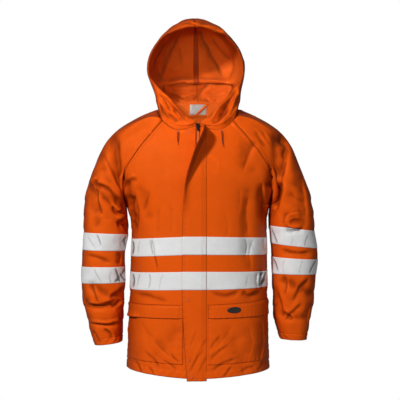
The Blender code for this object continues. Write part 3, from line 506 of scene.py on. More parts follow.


# %% [markdown]
# ## Creases
# A crease is narrower than a fold and never straight or even: a trough with a ridge thrown up on one
# side, deepest somewhere along it and running out at both ends. Each is drawn through three points in
# millimetres, in the plane of the viewer's frame. A random field then bends its line and varies its
# depth a little. A positive ridge lies on the left of the way the crease runs.

# %% Creases through given points
FRONT_CREASES = table(
    "x0 z0 x1 z1 x2 z2 width depth ridge",
    # right sleeve, upper
    (-243, -58, -231, -128, -216, -226, 11, 12, 0.1),
    (-281, -122, -249, -182, -218, -240, 9, -6, 0),
    (-307, -207, -262, -222, -209, -276, 5.5, 9, 0.6),
    (-310, -212, -301, -201, -290, -196, 4, 6, 0.5),
    (-284, -242, -254, -264, -228, -300, 7, 3.5, 0.6),
    (-238, -320, -214, -314, -191, -285, 8, 10, 0.6),
    (-244, -270, -234, -290, -215, -282, 4.5, 8, 0.5),
    (-186, -243, -194, -272, -203, -304, 9.5, 10.5, 0),
    (-217, -331, -203, -325, -188, -313, 7.7, 9, 0),
    (-304, -216, -291, -257, -277, -302, 9, 8, 0.1),
    # right chest
    (-215, -209, -197, -197, -177, -190, 4.3, 3.8, 0.8),
    (-139, -226, -151, -255, -165, -296, 10, 2.6, 0.3),
    (-110, -270, -116, -313, -113, -359, 8, 1.0, 0.4),
    (-78, -255, -75, -307, -81, -359, 8, 0.9, 0.4),
    (-188, -226, -177, -290, -180, -356, 10, 3.0, 0),
    # left chest and armhole
    (171, -81, 148, -119, 130, -174, 11, 5, 0.3),
    (165, -52, 183, -78, 200, -101, 4.3, 3, 0.8),
    (183, -49, 194, -69, 209, -87, 3.4, 2.2, 0.8),
    (148, -243, 142, -298, 148, -365, 9, 3.0, 0.3),
    (119, -214, 122, -255, 116, -298, 9, 1.5, 0.3),
    (78, -290, 87, -328, 81, -365, 8, 0.9, 0.4),
    (186, -203, 194, -255, 203, -319, 9.5, 7.5, 0),
    (226, -214, 220, -246, 212, -272, 7, 13, -0.3),
    (197, -275, 212, -270, 226, -278, 5, -5, 0),
    # left sleeve, upper
    (246, -48, 259, -112, 237, -212, 11, 18, 0.1),
    (241, -200, 238, -240, 226, -285, 9, 19, 0.15),
    (262, -226, 287, -250, 322, -262, 14, 3, 0.5),
    (249, -325, 262, -300, 306, -290, 8, -5, 0),
    (252, -333, 276, -342, 307, -339, 5, 7, 0.8),
    (298, -180, 309, -250, 315, -319, 14, 6, 0.2),
    (267, -333, 272, -315, 307, -316, 5, 2.5, 0.8),
    # right sleeve, lower
    (-328, -560, -287, -562, -229, -545, 5, 8, 0.8),
    (-313, -499, -296, -536, -287, -557, 4, 4, 0.6),
    (-206, -493, -226, -519, -261, -542, 6, 5, -0.5),
    (-316, -610, -273, -615, -220, -609, 3.5, 6, 0.9),
    (-307, -632, -296, -649, -284, -670, 5.2, 6, 0.4),
    (-273, -626, -255, -641, -246, -664, 4.3, 4.5, 0.5),
    (-220, -580, -217, -626, -229, -661, 6, 4, 0.3),
    (-215, -545, -235, -562, -249, -568, 3.5, 5, 0.6),
    (-325, -414, -290, -420, -249, -435, 6, 3.8, 0.5),
    (-232, -403, -223, -423, -229, -446, 6, 4.5, 0),
    # left sleeve, lower
    (325, -480, 296, -512, 272, -548, 7, 5, -0.4),
    (226, -516, 238, -554, 246, -597, 8.6, 4.5, 0),
    (244, -577, 261, -591, 278, -603, 4.3, 4.5, 0.8),
    (249, -609, 273, -580, 304, -554, 5, 3.4, 0.6),
    (334, -545, 322, -580, 316, -620, 6, 3.5, 0),
    (241, -394, 276, -409, 331, -406, 6, 4.5, 0.5),
    (243, -470, 255, -500, 249, -536, 5, 3, 0.5),
    # trunk, across the tapes
    (-136, -365, -128, -394, -116, -464, 3, 2.0, 0.8),
    (160, -365, 151, -412, 157, -464, 8, 2.6, 0.2),
    (186, -452, 186, -484, 188, -516, 4.3, 6, 0.3),
    (174, -464, 171, -490, 177, -513, 3, 3.8, 0.6),
    (139, -365, 145, -391, 142, -420, 2.4, 1.3, 0.8),
    (-186, -522, -139, -533, -81, -551, 7.7, 3, 0.4),
    (35, -519, 81, -530, 122, -519, 6, 3, 0.5),
    (130, -516, 151, -530, 186, -513, 6.9, 4.5, 0.4),
    # skirt
    (-165, -600, -142, -640, -102, -672, 10.1, 1.3, 0.3),
    (-128, -660, -96, -696, -58, -722, 6.5, 1.6, -0.5),
    (-107, -716, -84, -730, -58, -751, 3.6, 1.9, -0.5),
    (-154, -690, -128, -716, -110, -742, 3.6, 1.2, 0.5),
    (-78, -696, -67, -713, -52, -728, 2.5, 1.2, 0.6),
    (-183, -719, -171, -736, -162, -760, 3.1, 2, 0.5),
    (-145, -736, -133, -751, -128, -771, 3.1, 1.7, 0.5),
    (-26, -754, -6, -719, 23, -678, 2.5, 1.4, 0.8),
    (-17, -736, 3, -696, 26, -655, 2.5, 1.2, 0.8),
    (0, -757, 14, -731, 29, -707, 2.5, 1.2, 0.8),
    (-26, -684, -14, -655, -3, -626, 2.5, 0.8, 0.8),
    (102, -614, 78, -650, 46, -690, 9.3, 1.2, 0.3),
    (142, -614, 152, -667, 148, -713, 11.6, 1.7, 0.2),
    (180, -600, 186, -661, 180, -725, 8.7, 2.9, 0),
    (29, -722, 55, -696, 90, -672, 3.6, 1.6, 0.5),
    (35, -751, 70, -728, 116, -710, 3.6, 1.7, 0.5),
    (32, -690, 46, -667, 67, -646, 2.9, 1.2, 0.6),
    (70, -771, 87, -751, 99, -736, 3.1, 2, 0.4),
    (122, -754, 142, -742, 168, -736, 3.7, 2, 0.4),
    (168, -751, 186, -728, 197, -704, 3.7, 2, 0.2),
    # throat and crown of the hood
    (-116, 58, -96, 29, -75, 0, 5, 7, 0.8),
    (-130, 58, -110, 18, -81, -17, 6, 8, 0.7),
    (-99, 47, -78, 20, -58, 0, 4.5, 5, 0.8),
    (-87, 0, -72, -14, -55, -26, 5, 7, 0.5),
    (-145, 70, -130, 35, -110, 6, 7, 6, 0.5),
    (-75, 12, -52, -6, -29, -29, 5, 5, 0.6),
    (110, 76, 96, 29, 75, -17, 8, 10, 0.5),
    (125, 52, 116, 18, 102, -17, 7, 9, 0.5),
    (93, 23, 75, -6, 55, -29, 6, 7, 0.6),
    (81, 0, 61, -23, 41, -35, 5, 6, 0.6),
    (67, 35, 49, 6, 32, -23, 4, 2.5, 0.6),
    (0, 264, 38, 258, 75, 232, 4.5, 4, 0.5),
    (-58, 252, -29, 261, -3, 250, 4, 2.5, 0.5),
    (17, 247, 46, 244, 75, 226, 3, 3, 0.6),
    (-93, 229, -70, 247, -41, 252, 4, 2.5, 0.5),
    (87, 221, 104, 203, 122, 174, 5, 3, 0.4),
)
TAPE_CREASES = table(
    "x0 z0 x1 z1 x2 z2 width depth ridge",
    # right sleeve
    (-292.9, -350.7, -285.6, -368.1, -279.8, -388.4, 1.6, 1.8, 0.5),
    (-205.9, -356.5, -213.1, -373.9, -205.9, -397.1, 2.6, 2.6, 0.5),
    (-226.2, -379.7, -217.5, -368.1, -208.8, -359.4, 1.6, 1.6, 0.5),
    (-223.3, -353.6, -226.2, -376.8, -220.4, -400.0, 1.2, 0.9, 0.5),
    (-319.0, -359.4, -310.3, -373.9, -298.7, -397.1, 1.2, 0.8, 0.5),
    (-240.7, -449, -232.0, -472.5, -226, -499, 2.2, 4.2, 0.5),
    (-206, -448, -222, -472.5, -243.6, -498.6, 2.4, 4.8, 0.5),
    (-234.9, -492, -220.4, -475.4, -205.9, -460.9, 1.8, 4.0, 0.5),
    (-214, -452, -209, -474, -217, -498, 2.0, 4.0, 0.5),
    (-229, -462, -217, -482, -206, -492, 1.8, 3.6, 0.5),
    (-249.4, -458.0, -255.2, -478.3, -249.4, -498.6, 1.4, 1.0, 0.5),
    (-301.6, -446.4, -292.9, -469.6, -275.5, -495.7, 1.3, 1.0, 0.5),
    # right front
    (-188.5, -368.1, -184.1, -391.3, -188.5, -417.4, 2.2, 2.6, 0.5),
    (-187.0, -463.8, -182.7, -487.0, -185.6, -510.2, 2.2, 2.6, 0.5),
    (-137.5, -368.1, -133.4, -391.3, -128.8, -417.4, 1.6, 1.6, 0.5),
    (-139.2, -463.8, -136.3, -487.0, -142.1, -516.0, 1.4, 1.2, 0.5),
    (-98.6, -466.7, -107.3, -489.9, -110.2, -516.0, 1.1, 0.7, 0.5),
    (-165.3, -463.8, -171.1, -487.0, -176.9, -510.2, 1.3, 1.2, 0.5),
    (-165.3, -368.1, -171.1, -391.3, -174.0, -417.4, 1.2, 0.9, 0.5),
    # left front
    (190, -458, 182.7, -481.2, 176, -508, 2.0, 4.0, 0.5),
    (197, -456, 191, -478.3, 184, -507, 2.0, 4.2, 0.5),
    (196, -478, 189, -494, 181, -511, 1.7, 3.4, 0.5),
    (147.9, -463.8, 142.1, -487.0, 139.2, -513.1, 1.1, 0.8, 0.5),
    (191.4, -362.3, 188.5, -382.6, 194.3, -405.8, 1.6, 1.6, 0.5),
    (162.4, -362.3, 159.5, -385.5, 165.3, -411.6, 1.1, 0.7, 0.5),
    # left sleeve
    (345.1, -426.1, 333.5, -446.4, 321.9, -472.5, 1.8, 2.4, 0.5),
    (307.4, -423.2, 298.7, -446.4, 292.9, -472.5, 1.3, 1.0, 0.5),
    (217.5, -417.4, 226.2, -437.7, 234.9, -463.8, 1.8, 2.0, 0.5),
    (252.3, -426.1, 246.5, -446.4, 249.4, -469.6, 1.1, 0.7, 0.5),
    (214.6, -333.3, 223.3, -356.5, 234.9, -385.5, 1.8, 2.0, 0.5),
    (321.9, -353.6, 313.2, -373.9, 310.3, -394.2, 1.5, 1.6, 0.5),
    (272.6, -344.9, 275.5, -368.1, 266.8, -391.3, 1.1, 0.7, 0.5),
)
HOOD_CREASES = table(
    "x0 z0 x1 z1 x2 z2 width depth ridge",
    # the cloth above the nape rolls forward over a recess
    (-104, 74, -14, 81, 113, 77, 4.5, 8, 1.0),
    (-87, 55, -6, 50, 81, 58, 11, 4, 0),
    # the recess, down to the gathered band seam
    (-61, 26, 0, 23, 61, 26, 3.5, 5, 0.5),
    (38, 87, 14, 61, -17, 38, 6, 5, 0.6),
    (-87, 64, -46, 47, 6, 55, 7, 3, 0.4),
    (-64, 41, -41, 26, -23, 35, 4, 3, 0.5),
    (20, 44, 38, 29, 55, 41, 4, 3, 0.5),
    (-75, 70, -58, 52, -35, 41, 4, 2.5, 0.6),
    # its two ends turn down beside the front edges
    (87, 81, 99, 58, 102, 23, 4, 7, -0.5),
    (-99, 81, -93, 55, -78, 32, 5, 5, 0.5),
    # the two corners beside the flat middle
    (-49, 232, -84, 157, -113, 81, 15, 10, 0),
    (0, 241, 32, 174, 75, 96, 14, 9, 0),
    # folds in its sides
    (99, 174, 102, 134, 90, 93, 8, 4, 0.3),
    (-116, 157, -110, 122, -93, 87, 7, 3, 0.3),
    (-64, 209, -58, 168, -52, 122, 8, -3, 0),
    (35, 226, 64, 180, 99, 145, 7, 3.5, 0.5),
    (46, 238, 81, 203, 110, 168, 6, 3, 0.5),
    (-87, 203, -110, 163, -128, 116, 6, 3, 0.4),
)
BACK_CREASES = table(
    "x0 z0 x1 z1 x2 z2 width depth ridge",
    # sleeves from behind
    (-290, -110, -262, -160, -238, -215, 13, 5, 0.5), (-322, -225, -290, -246, -248, -262, 9, 4, 0.6),
    (-316, -262, -280, -284, -240, -290, 7, 3.5, -0.6), (-330, -300, -300, -322, -262, -318, 10, 3, 0.4),
    (-322, -500, -285, -512, -240, -498, 10, 5, 0.5), (-326, -548, -290, -560, -248, -552, 6, 3.5, 0.7),
    (-316, -588, -280, -604, -238, -596, 5, 3, 0.7), (-300, -632, -285, -648, -262, -660, 5, 3, 0.5),
    (286, -112, 262, -165, 234, -212, 13, 5, -0.5), (322, -232, 286, -256, 246, -266, 9, 4, -0.6),
    (328, -300, 296, -318, 258, -306, 8, 3.5, 0.5), (334, -486, 296, -505, 252, -492, 10, 5, 0.5),
    (330, -536, 292, -552, 246, -546, 6, 3.5, 0.7), (318, -590, 288, -606, 252, -598, 5, 3, 0.7),
    # shoulder blades, waist and seat
    (-170, -180, -150, -235, -158, -300, 15, 4.5, 0.3), (170, -175, 152, -235, 160, -300, 15, 4.5, -0.3),
    (-90, -120, -60, -170, -72, -230, 18, 2.5, 0.4), (84, -110, 62, -165, 70, -225, 18, 2.5, -0.4),
    (-40, -420, -52, -500, -34, -590, 16, 3, 0.4), (52, -430, 44, -520, 60, -610, 16, 3, -0.4),
    (-150, -520, -128, -590, -142, -680, 14, 4, 0.4), (150, -510, 132, -600, 144, -690, 14, 4, -0.4),
    (-110, -700, -96, -718, -90, -742, 7, 3, 0.5), (20, -706, 30, -722, 28, -744, 7, 3, 0.5),
    (96, -698, 108, -716, 104, -742, 7, 3, 0.5), (-20, -60, 10, -74, 44, -66, 9, 2, 0.4),
)
# seen from the side: y0 is towards the back; the same table serves both sides
SIDE_CREASES = table(
    "x0 z0 x1 z1 x2 z2 width depth ridge",
    (-40, -92, -8, -150, 6, -220, 15, 3.5, 0.4), (42, -88, 22, -146, 10, -200, 14, 3, -0.4),
    (-52, -236, -10, -258, 44, -246, 10, 4.5, 0.6), (-46, -290, 4, -306, 50, -292, 8, 3.5, 0.6),
    (-50, -322, -6, -342, 40, -330, 7, 2.5, 0.6), (-48, -500, 0, -520, 46, -504, 10, 4.5, 0.6),
    (-44, -548, 4, -566, 42, -552, 6, 3.5, 0.7), (-40, -590, 0, -604, 38, -594, 5, 3, 0.7),
    (-26, -622, -6, -640, 8, -662, 6, 3, 0.5), (30, -616, 22, -638, 12, -660, 5, 2.5, 0.5),
    (-70, -600, -40, -660, -52, -730, 13, 4, 0.4), (64, -590, 40, -650, 50, -726, 13, 4, -0.4),
    (-10, -560, 4, -630, -6, -700, 14, 3.5, 0.4),
)


# %% [markdown]
# ## A field of smooth random values
# Cloth is never even. `noise` gives values from -1 to 1 that change smoothly over a chosen size, with
# nothing left to chance: the same place always has the same value. It is gradient noise, the kind that
# Blender's own Noise texture uses, written for whole grids of points at once.

# %% Noise
def noise(place, size, seed=0):
    """Smooth random values from -1 to 1 at each point. Size is how far apart their bumps are."""
    spot = np.asarray(place, float) / size
    cell = np.floor(spot).astype(np.int64)
    within = spot - cell
    blend = within**3 * (within * (within * 6 - 15) + 10)
    total = np.zeros(spot.shape[:-1])
    for corner in np.ndindex(2, 2, 2):
        key = (cell + corner) @ np.array((374761393, 668265263, 1440662683)) + seed * 97531
        slopes = []
        for salt in (12011, 32413, 77617):
            mixed = (key * 2654435761 + salt * 40503) & 0xFFFFFFFF
            mixed = ((mixed ^ (mixed >> 15)) * 2246822519) & 0xFFFFFFFF
            slopes.append(((mixed ^ (mixed >> 13)) & 0xFFFF) / 32767.5 - 1)
        weight = np.prod(np.where(corner, blend, 1 - blend), axis=-1)
        total += weight * sum(slope * (within[..., i] - corner[i]) for i, slope in enumerate(slopes))
    return np.clip(total * 1.4, -1, 1)


# %% [markdown]
# ## From a line to a crease
# For each point the nearest place on the crease's curve is found. The signed distance from it gives the
# trough and the ridge beside it. `seen_ahead` moves every point to the plane of the frame, as a pinhole
# does, so a crease lands on the cloth exactly where it was drawn.

# %% Crease relief
def seen_ahead(place):
    """Where the viewer straight ahead sees each point, in millimetres in the plane through the neck."""
    nearer = abs(VIEWER[1]) / (abs(VIEWER[1]) + place[..., 1])
    return VIEWER[[0, 2]] + (place[..., (0, 2)] - VIEWER[[0, 2]]) * nearer[..., None]


STEEP, GENTLE = 0.36, 2.0  # a crease is steep between its trough and its ridge, and gentle outside them


def crease_relief(spot, creases, seed, straying=2.2):
    """How far creases push each point out, from its place in the plane they are drawn in."""
    relief = np.zeros(spot.shape[:-1])
    flat = np.concatenate([spot, np.full(spot.shape[:-1] + (1,), seed)], axis=-1)
    wander = straying * noise(flat, 24, seed + 1)
    unevenness = 1 + 0.45 * noise(flat, 31, seed + 2)
    for x0, z0, x1, z1, x2, z2, width, depth, ridge in zip(*creases.values()):
        path = smooth((0, 0.5, 1), [(x0, z0), (x1, z1), (x2, z2)], np.linspace(0, 1, 9))
        margin = 4 * width + 5
        near = ((spot > path.min(0) - margin) & (spot < path.max(0) + margin)).all(-1)
        if not near.any():
            continue
        here = spot[near]
        best, signed, place_along = np.full(len(here), np.inf), np.zeros(len(here)), np.zeros(len(here))
        for i, (start, end) in enumerate(zip(path[:-1], path[1:])):
            run = end - start
            share = (here - start) @ run / (run @ run)
            offset = here - start - np.clip(share, 0, 1)[:, None] * run
            away = np.linalg.norm(offset, axis=-1)
            closer = away < best
            side = np.sign(run[0] * offset[:, 1] - run[1] * offset[:, 0])
            best = np.where(closer, away, best)
            signed = np.where(closer, away * side, signed)
            place_along = np.where(closer, (i + np.clip(share, 0, 1)) / (len(path) - 1), place_along)
        signed = (signed + wander[near]) * np.sign(ridge + 1e-9)
        fade = ease(place_along / 0.3 + 0.15) * ease((1 - place_along) / 0.3 + 0.15)
        trough = np.exp(-((signed / np.where(signed > 0, STEEP * width, GENTLE * width)) ** 2))
        crest = signed - 1.3 * width
        crest = abs(ridge) * np.exp(-((crest / np.where(crest > 0, GENTLE * width, STEEP * width)) ** 2))
        relief[near] += depth * (crest - trough) * fade * unevenness[near]
    return relief


# %% [markdown]
# ## Crumples
# Between the folds the cloth shows shallow dents and flat facets with crisp edges. A dent is smooth noise.
# A facet's edge is where a field of noise changes its sign, because its size without the sign turns
# sharply there. How strong all this is depends on how hard that part of a jacket is worn.

# %% Crumples and the whole relief
ARMPIT_PLACES = np.array(((-206.0, 0.0, ARMPIT), (206.0, 0.0, ARMPIT)))
SMOOTHEST = 0.16  # how crumpled the chest is, where the most crumpled cloth would be 1


def wear(place):
    """How crumpled the cloth is: the chest is nearly smooth, the sleeves and skirt aren't."""
    outside_body = ease((np.abs(place[..., 0]) - 190) / 50)
    arm = outside_body * ease((-130 - place[..., 2]) / 90)
    forearm = outside_body * ease((-440 - place[..., 2]) / 60)
    skirt = ease((-585 - place[..., 2]) / 60)
    head = ease((place[..., 2] - 10) / 40)
    most = np.maximum(np.maximum(0.62 * arm - 0.1 * forearm, 0.55 * skirt), 0.45 * head)
    return SMOOTHEST + (1 - SMOOTHEST) * most


def crumple(place):
    """Dents, and facets with sharp edges between them, in millimetres out of the cloth."""
    dents = 1.6 * noise(place * (1, 1, 0.6), 88, 3)
    bent = place + 6 * noise(place, 60, 5)[..., None]
    wide_facets = 4.2 * np.abs(noise(bent * (0.7, 1, 1.2), 66, 6))
    small_facets = -2.6 * np.abs(noise(bent * (1.1, 1, 0.9), 41, 8))
    return wear(place) * (dents + wide_facets + small_facets + 0.3 * noise(place, 19, 4))


def tape_cracks(place, normal):
    """Where the bead layer of a tape is creased, as seen from straight ahead, in millimetres of depth."""
    return crease_relief(seen_ahead(place), TAPE_CREASES, 15, straying=0.8) * ease(2.5 * -normal[..., 1])


def relief(place, normal, creases=None):
    """All that presses the cloth in or out, as an offset along its normal."""
    ahead = seen_ahead(place)
    total = crumple(place) - fold_depth(place, normal)
    towards = -normal[..., 1]
    total += crease_relief(ahead, FRONT_CREASES, 11) * ease(2.5 * towards)
    total += crease_relief(place[..., (0, 2)], BACK_CREASES, 12) * ease(-1.8 * towards)
    sideways = ease(1.8 * np.abs(normal[..., 0]) - 0.7)
    total += 0.35 * crease_relief(place[..., (1, 2)], SIDE_CREASES, 13) * sideways
    if creases is not None:
        total -= crease_relief(ahead, creases, 14) * ease(-1.8 * towards + 0.2)
    away = np.linalg.norm(place[..., None, :] - ARMPIT_PLACES, axis=-1).min(axis=-1)
    return total * ease((away - 4) / 40)


def normals_of(surface, us, vs, facing):
    """Outward unit normals of a surface at a grid of places."""
    us, vs = np.asarray(us, float), np.asarray(vs, float)
    step_u, step_v = 1e-3 * np.ptp(us), 1e-3 * np.ptp(vs)
    across = surface(us + step_u, vs) - surface(us - step_u, vs)
    up = surface(us, vs + step_v) - surface(us, vs - step_v)
    normal = facing * np.cross(across, up)
    return normal / np.maximum(np.linalg.norm(normal, axis=-1, keepdims=True), 1e-9)


# %% [markdown]
# ## Seams and hems
# A sewn edge is what makes cloth look made: the thread pulls the line in, the lapped allowance stands up
# beside it, and the cloth puckers and fades out over a centimetre or two. A hem is the same with the
# whole turned-up strip standing proud as far as its stitch line.

# %% Edge relief
# how far in from its edge each line of stitches lies
HEM_DEEP, CUFF_DEEP = 20.0, 18.0
TUNNEL_LINE, TOPSTITCH, PATCH_LINE, TAPE_LINE = 31, 8, 2.5, 2


def cloth_lengths(grid):
    """How far each point is from the grid's first column and from its first row, along the cloth."""
    across, up = (np.cumsum(np.linalg.norm(np.diff(grid, axis=i), axis=-1), axis=i) for i in (1, 0))
    return np.pad(across, ((0, 0), (1, 0))), np.pad(up, ((1, 0), (0, 0)))


def from_edge(grid, edge):
    """How far each point of a grid is from one of its edges, and how far along it, over the surface."""
    across, up = cloth_lengths(grid)
    return {
        "low_u": (across, up),
        "high_u": (across[:, -1:] - across, up),
        "low_v": (up, across),
        "high_v": (up[-1:] - up, across),
    }[edge]


def seam(away, run, lap=0.0):
    """A sewn seam at distance 0: a groove, a lapped welt if this side carries it, and puckers that fade."""
    welt = 0.8 * lap * ease((away - 1.5) / 1.5) * (1 - ease((away - 10) / 1.5))
    swing = np.sin(run / 2.3 + 2.4 * np.sin(run / 17)) * np.sin(run / 31 + 1.3)
    return welt - 1.2 * np.exp(-((away / 2.0) ** 2)) + 0.55 * swing * np.exp(-away / 9)


def hem(away, run, deep=HEM_DEEP):
    """A turned-up hem: the strip stands proud as far as its stitch line, and is pulled askew between."""
    strip = 0.8 * (1 - ease((away - deep + 1) / 2))
    line = -1.0 * np.exp(-(((away - deep - 0.5) / 1.6) ** 2))
    swing = np.sin((run + 0.7 * away) / 3.1 + 1.9 * np.sin(run / 23)) * (0.55 + 0.45 * np.sin(run / 41))
    return strip + line + 0.7 * swing * np.exp(-(((away - 0.55 * deep) / (0.6 * deep)) ** 2))


print("creases", len(FRONT_CREASES["x0"]), "in front,", len(BACK_CREASES["x0"]), "behind")


# %% [markdown]
# ## Drawcords
# The hood's drawcord leaves an eyelet on each side of the neck and ends in a small overhand knot. The ends
# are only 35 and 47 mm long, so each is drawn as a curve through given points: straight out of the eyelet,
# over in a short bend and down along the front, held by its own stiffness.

# %% Drawcords
CORD = 3.0
CORD_ROUTES = {
    "right": table(
        "x stand_off z",
        (-56.0, 1.0, -64.0), (-56.1, 5.0, -64.6), (-56.5, 8.0, -68.5),
        (-57.2, 7.4, -75.5), (-57.0, 5.6, -83.5), (-56.0, 4.9, -92.0),
    ),
    "left": table(
        "x stand_off z",
        (66.0, 1.0, -61.0), (66.2, 5.0, -61.6), (66.8, 8.0, -65.5), (67.4, 7.4, -73.0),
        (67.6, 5.8, -82.0), (68.6, 5.0, -91.0), (70.4, 4.9, -100.0),
    ),
}
KNOT_TURNS = 61  # stations round the knot
KNOT_BELOW = 3.2  # from the cord's last point to the knot's middle


def mesh_of(name, bm):
    """The finished mesh of a bmesh."""
    mesh = bpy.data.meshes.new(name)
    bm.to_mesh(mesh)
    bm.free()
    return mesh


def drawcord(name, route):
    """One end of the drawcord as a round tube, and the line it follows in millimetres."""
    chosen = [(x, front_y(x, z) - off, z) for x, off, z in zip(route["x"], route["stand_off"], route["z"])]
    stations = np.arange(len(chosen))
    line = smooth(stations, np.array(chosen), np.linspace(0, stations[-1], 2 * len(chosen)))
    curve = bpy.data.curves.new("route", "CURVE")
    curve.dimensions = "3D"
    curve.bevel_depth = CORD / 2 * MM
    curve.bevel_resolution = 3
    curve.use_fill_caps = True
    spline = curve.splines.new("POLY")
    spline.points.add(len(line) - 1)
    spline.points.foreach_set("co", np.pad(line * MM, ((0, 0), (0, 1)), constant_values=1).ravel())
    drawn = bpy.data.objects.new("route", curve)
    mesh = bpy.data.meshes.new_from_object(drawn)
    bpy.data.objects.remove(drawn)
    bpy.data.curves.remove(curve)
    mesh.name = name
    mesh.shade_smooth()
    return linked(name, mesh), line


def overhand_knot(name, centre, down):
    """A pulled-tight overhand knot: a trefoil of cord, with a short frayed tail below it."""
    turn = np.linspace(0, 2 * np.pi, KNOT_TURNS)
    loop = points(np.sin(turn) + 2 * np.sin(2 * turn), np.cos(turn) - 2 * np.cos(2 * turn), -np.sin(3 * turn))
    loop *= (0.62, 0.62, 0.85)
    bm = bmesh.new()
    ring = bmesh.ops.create_circle(bm, segments=10, radius=0.72)["verts"]
    rings = [ring]
    for _ in range(KNOT_TURNS - 2):
        copied = bmesh.ops.duplicate(bm, geom=ring)["geom"]
        rings.append([item for item in copied if isinstance(item, bmesh.types.BMVert)])
    for i, vertices in enumerate(rings):
        run = Vector(loop[(i + 1) % (KNOT_TURNS - 1)] - loop[i - 1])
        turned = run.to_track_quat("Z", "Y").to_matrix().to_4x4()
        bmesh.ops.transform(bm, matrix=Matrix.Translation(loop[i]) @ turned, verts=vertices)
    edges = [[edge for edge in bm.edges if edge.verts[0] in group and edge.verts[1] in group]
             for group in map(set, rings)]
    for first, second in zip(edges, edges[1:] + edges[:1]):
        bmesh.ops.bridge_loops(bm, edges=first + second)
    below = Matrix.Translation((0, 0, 2.6))
    bmesh.ops.create_cone(bm, cap_ends=True, segments=10, radius1=0.9, radius2=1.35, depth=3.4, matrix=below)
    bmesh.ops.recalc_face_normals(bm, faces=bm.faces)
    way = Vector(down).to_track_quat("Z", "Y").to_matrix().to_4x4()
    bmesh.ops.transform(bm, matrix=Matrix.Scale(MM, 4) @ Matrix.Translation(centre) @ way, verts=bm.verts)
    mesh = mesh_of(name, bm)
    mesh.shade_smooth()
    return linked(name, mesh)


for name, route in CORD_ROUTES.items():
    cord, line = drawcord(f"cord_{name}", route)
    run = line[-1] - line[-2]
    knot = overhand_knot(f"knot_{name}", line[-1] + KNOT_BELOW * run / np.linalg.norm(run), run)
    length = float(np.linalg.norm(np.diff(line, axis=0), axis=1).sum())
    for piece, solid in ((cord, f"drawcord_{name}"), (knot, f"cord_knot_{name}")):
        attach(piece, "garment")
        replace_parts(piece, solid)
    print("drawcord", name, round(length, 1), "mm")


# %% [markdown]
# ## From a grid of points to cloth
# `create_grid` gives the faces, row by row, and each vertex is then moved to its place on the surface.
# The UV map is in metres along the cloth, so a weave keeps its scale on every piece. Three attributes go
# with it: how much painted shade a point takes for lying deep in a crease, how far it is from a sewn
# edge, and how cracked a tape is there. Solidify adds the wall at the end.

# %% Cloth mesh
SHELL = 1.2  # the coated cloth with its lining
APART = 3.2  # from one row or column of a cloth grid to the next


def steps(*stops, apart=APART):
    """Evenly spaced places through all the stops, so two pieces that share a stretch share its places."""
    runs = [np.linspace(a, b, max(2, round(abs(b - a) / apart) + 1))[:-1] for a, b in zip(stops, stops[1:])]
    return np.concatenate([*runs, stops[-1:]])


sewn_area = {}  # of each cloth piece as it is made, in square metres
UNSEWN = 99.0  # stands for a distance from a sewn edge where none is near
PLAIN = {"crease": 0.0, "sewn": UNSEWN, "crack": 0.0}  # what a piece without these marks has


def flat_area(grid):
    """The area of a grid of points, as the sum of its cells."""
    one = np.cross(grid[1:, 1:] - grid[:-1, :-1], grid[1:, :-1] - grid[:-1, 1:])
    return np.linalg.norm(one, axis=-1).sum() / 2


def cloth(name, made, facing, wall=SHELL, outward=False, closed=False):
    """A cloth piece from a grid of points in millimetres. The grid's marks become the mesh's attributes."""
    grid = made["grid"]
    if closed:
        grid[:, -1] = grid[:, 0]
    rows, columns = grid.shape[:2]
    bm = bmesh.new()
    bmesh.ops.create_grid(bm, x_segments=columns - 1, y_segments=rows - 1, size=1)
    if facing < 0:
        bmesh.ops.reverse_faces(bm, faces=bm.faces)
    for vertex, place in zip(bm.verts, grid.reshape(-1, 3) * MM):
        vertex.co = place
    mesh = mesh_of(name, bm)

    corner = np.empty(len(mesh.loops), dtype=np.int32)
    mesh.loops.foreach_get("vertex_index", corner)
    across, up = cloth_lengths(grid)
    flat = np.stack([across.ravel(), up.ravel()], axis=1) * MM
    mesh.uv_layers.new(name="cloth").data.foreach_set("uv", flat[corner].ravel())
    sewn_area[name] = flat_area(grid) * MM * MM
    for label, plain in PLAIN.items():
        spread = np.broadcast_to(np.asarray(made.get(label, plain), float), (rows, columns))
        mesh.attributes.new(label, "FLOAT", "POINT").data.foreach_set("value", spread.ravel())
    if closed:
        bm = bmesh.new()
        bm.from_mesh(mesh)
        bmesh.ops.remove_doubles(bm, verts=bm.verts, dist=1e-6)
        bm.to_mesh(mesh)
        bm.free()
    mesh.shade_smooth()

    piece = linked(name, mesh)
    solid = piece.modifiers.new("wall", "SOLIDIFY")
    solid.thickness = wall * MM
    solid.offset = 1 if outward else -1
    solid.use_quality_normals = True
    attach(piece, "garment")
    return piece


SMOOTHING_ROUNDS = 5
CRACK_PRESS, CRACK_LIMIT = 0.15, 0.3  # a crack's share that a tape's form shows, and the most it may be


def ruggedness(pressed):
    """How far each point lies below the mean of those around it, so sharp creases gather more shade."""
    around = pressed.copy()
    for _ in range(SMOOTHING_ROUNDS):
        padded = np.pad(around, 1, mode="edge")
        around = (padded[:-2, 1:-1] + padded[2:, 1:-1] + padded[1:-1, :-2] + padded[1:-1, 2:]) / 4
    return (around - pressed) / 1.6


def welted(away, run):
    """The flap's seam: its edge goes under to the front, and a topstitched ridge stands beside it."""
    ridge = 0.9 * ease((away - 3) / 3) * (1 - ease((away - 7) / 2))
    return ridge - 3.1 * (1 - ease(away / 17)) - 0.6 * np.exp(-(((away - 9.5) / 1.6) ** 2))


def stitched_down(away, run):
    """A patch's edge, stitched near its rim: pressed flat there, with puckers that run into the patch."""
    swing = np.sin(run / 2.7 + 2.2 * np.sin(run / 19))
    pressed = -0.5 * np.exp(-(((away - PATCH_LINE) / 1.5) ** 2)) - 0.9 * (1 - ease(away / 3))
    return pressed + 0.4 * swing * np.exp(-(((away - 6) / 8) ** 2))


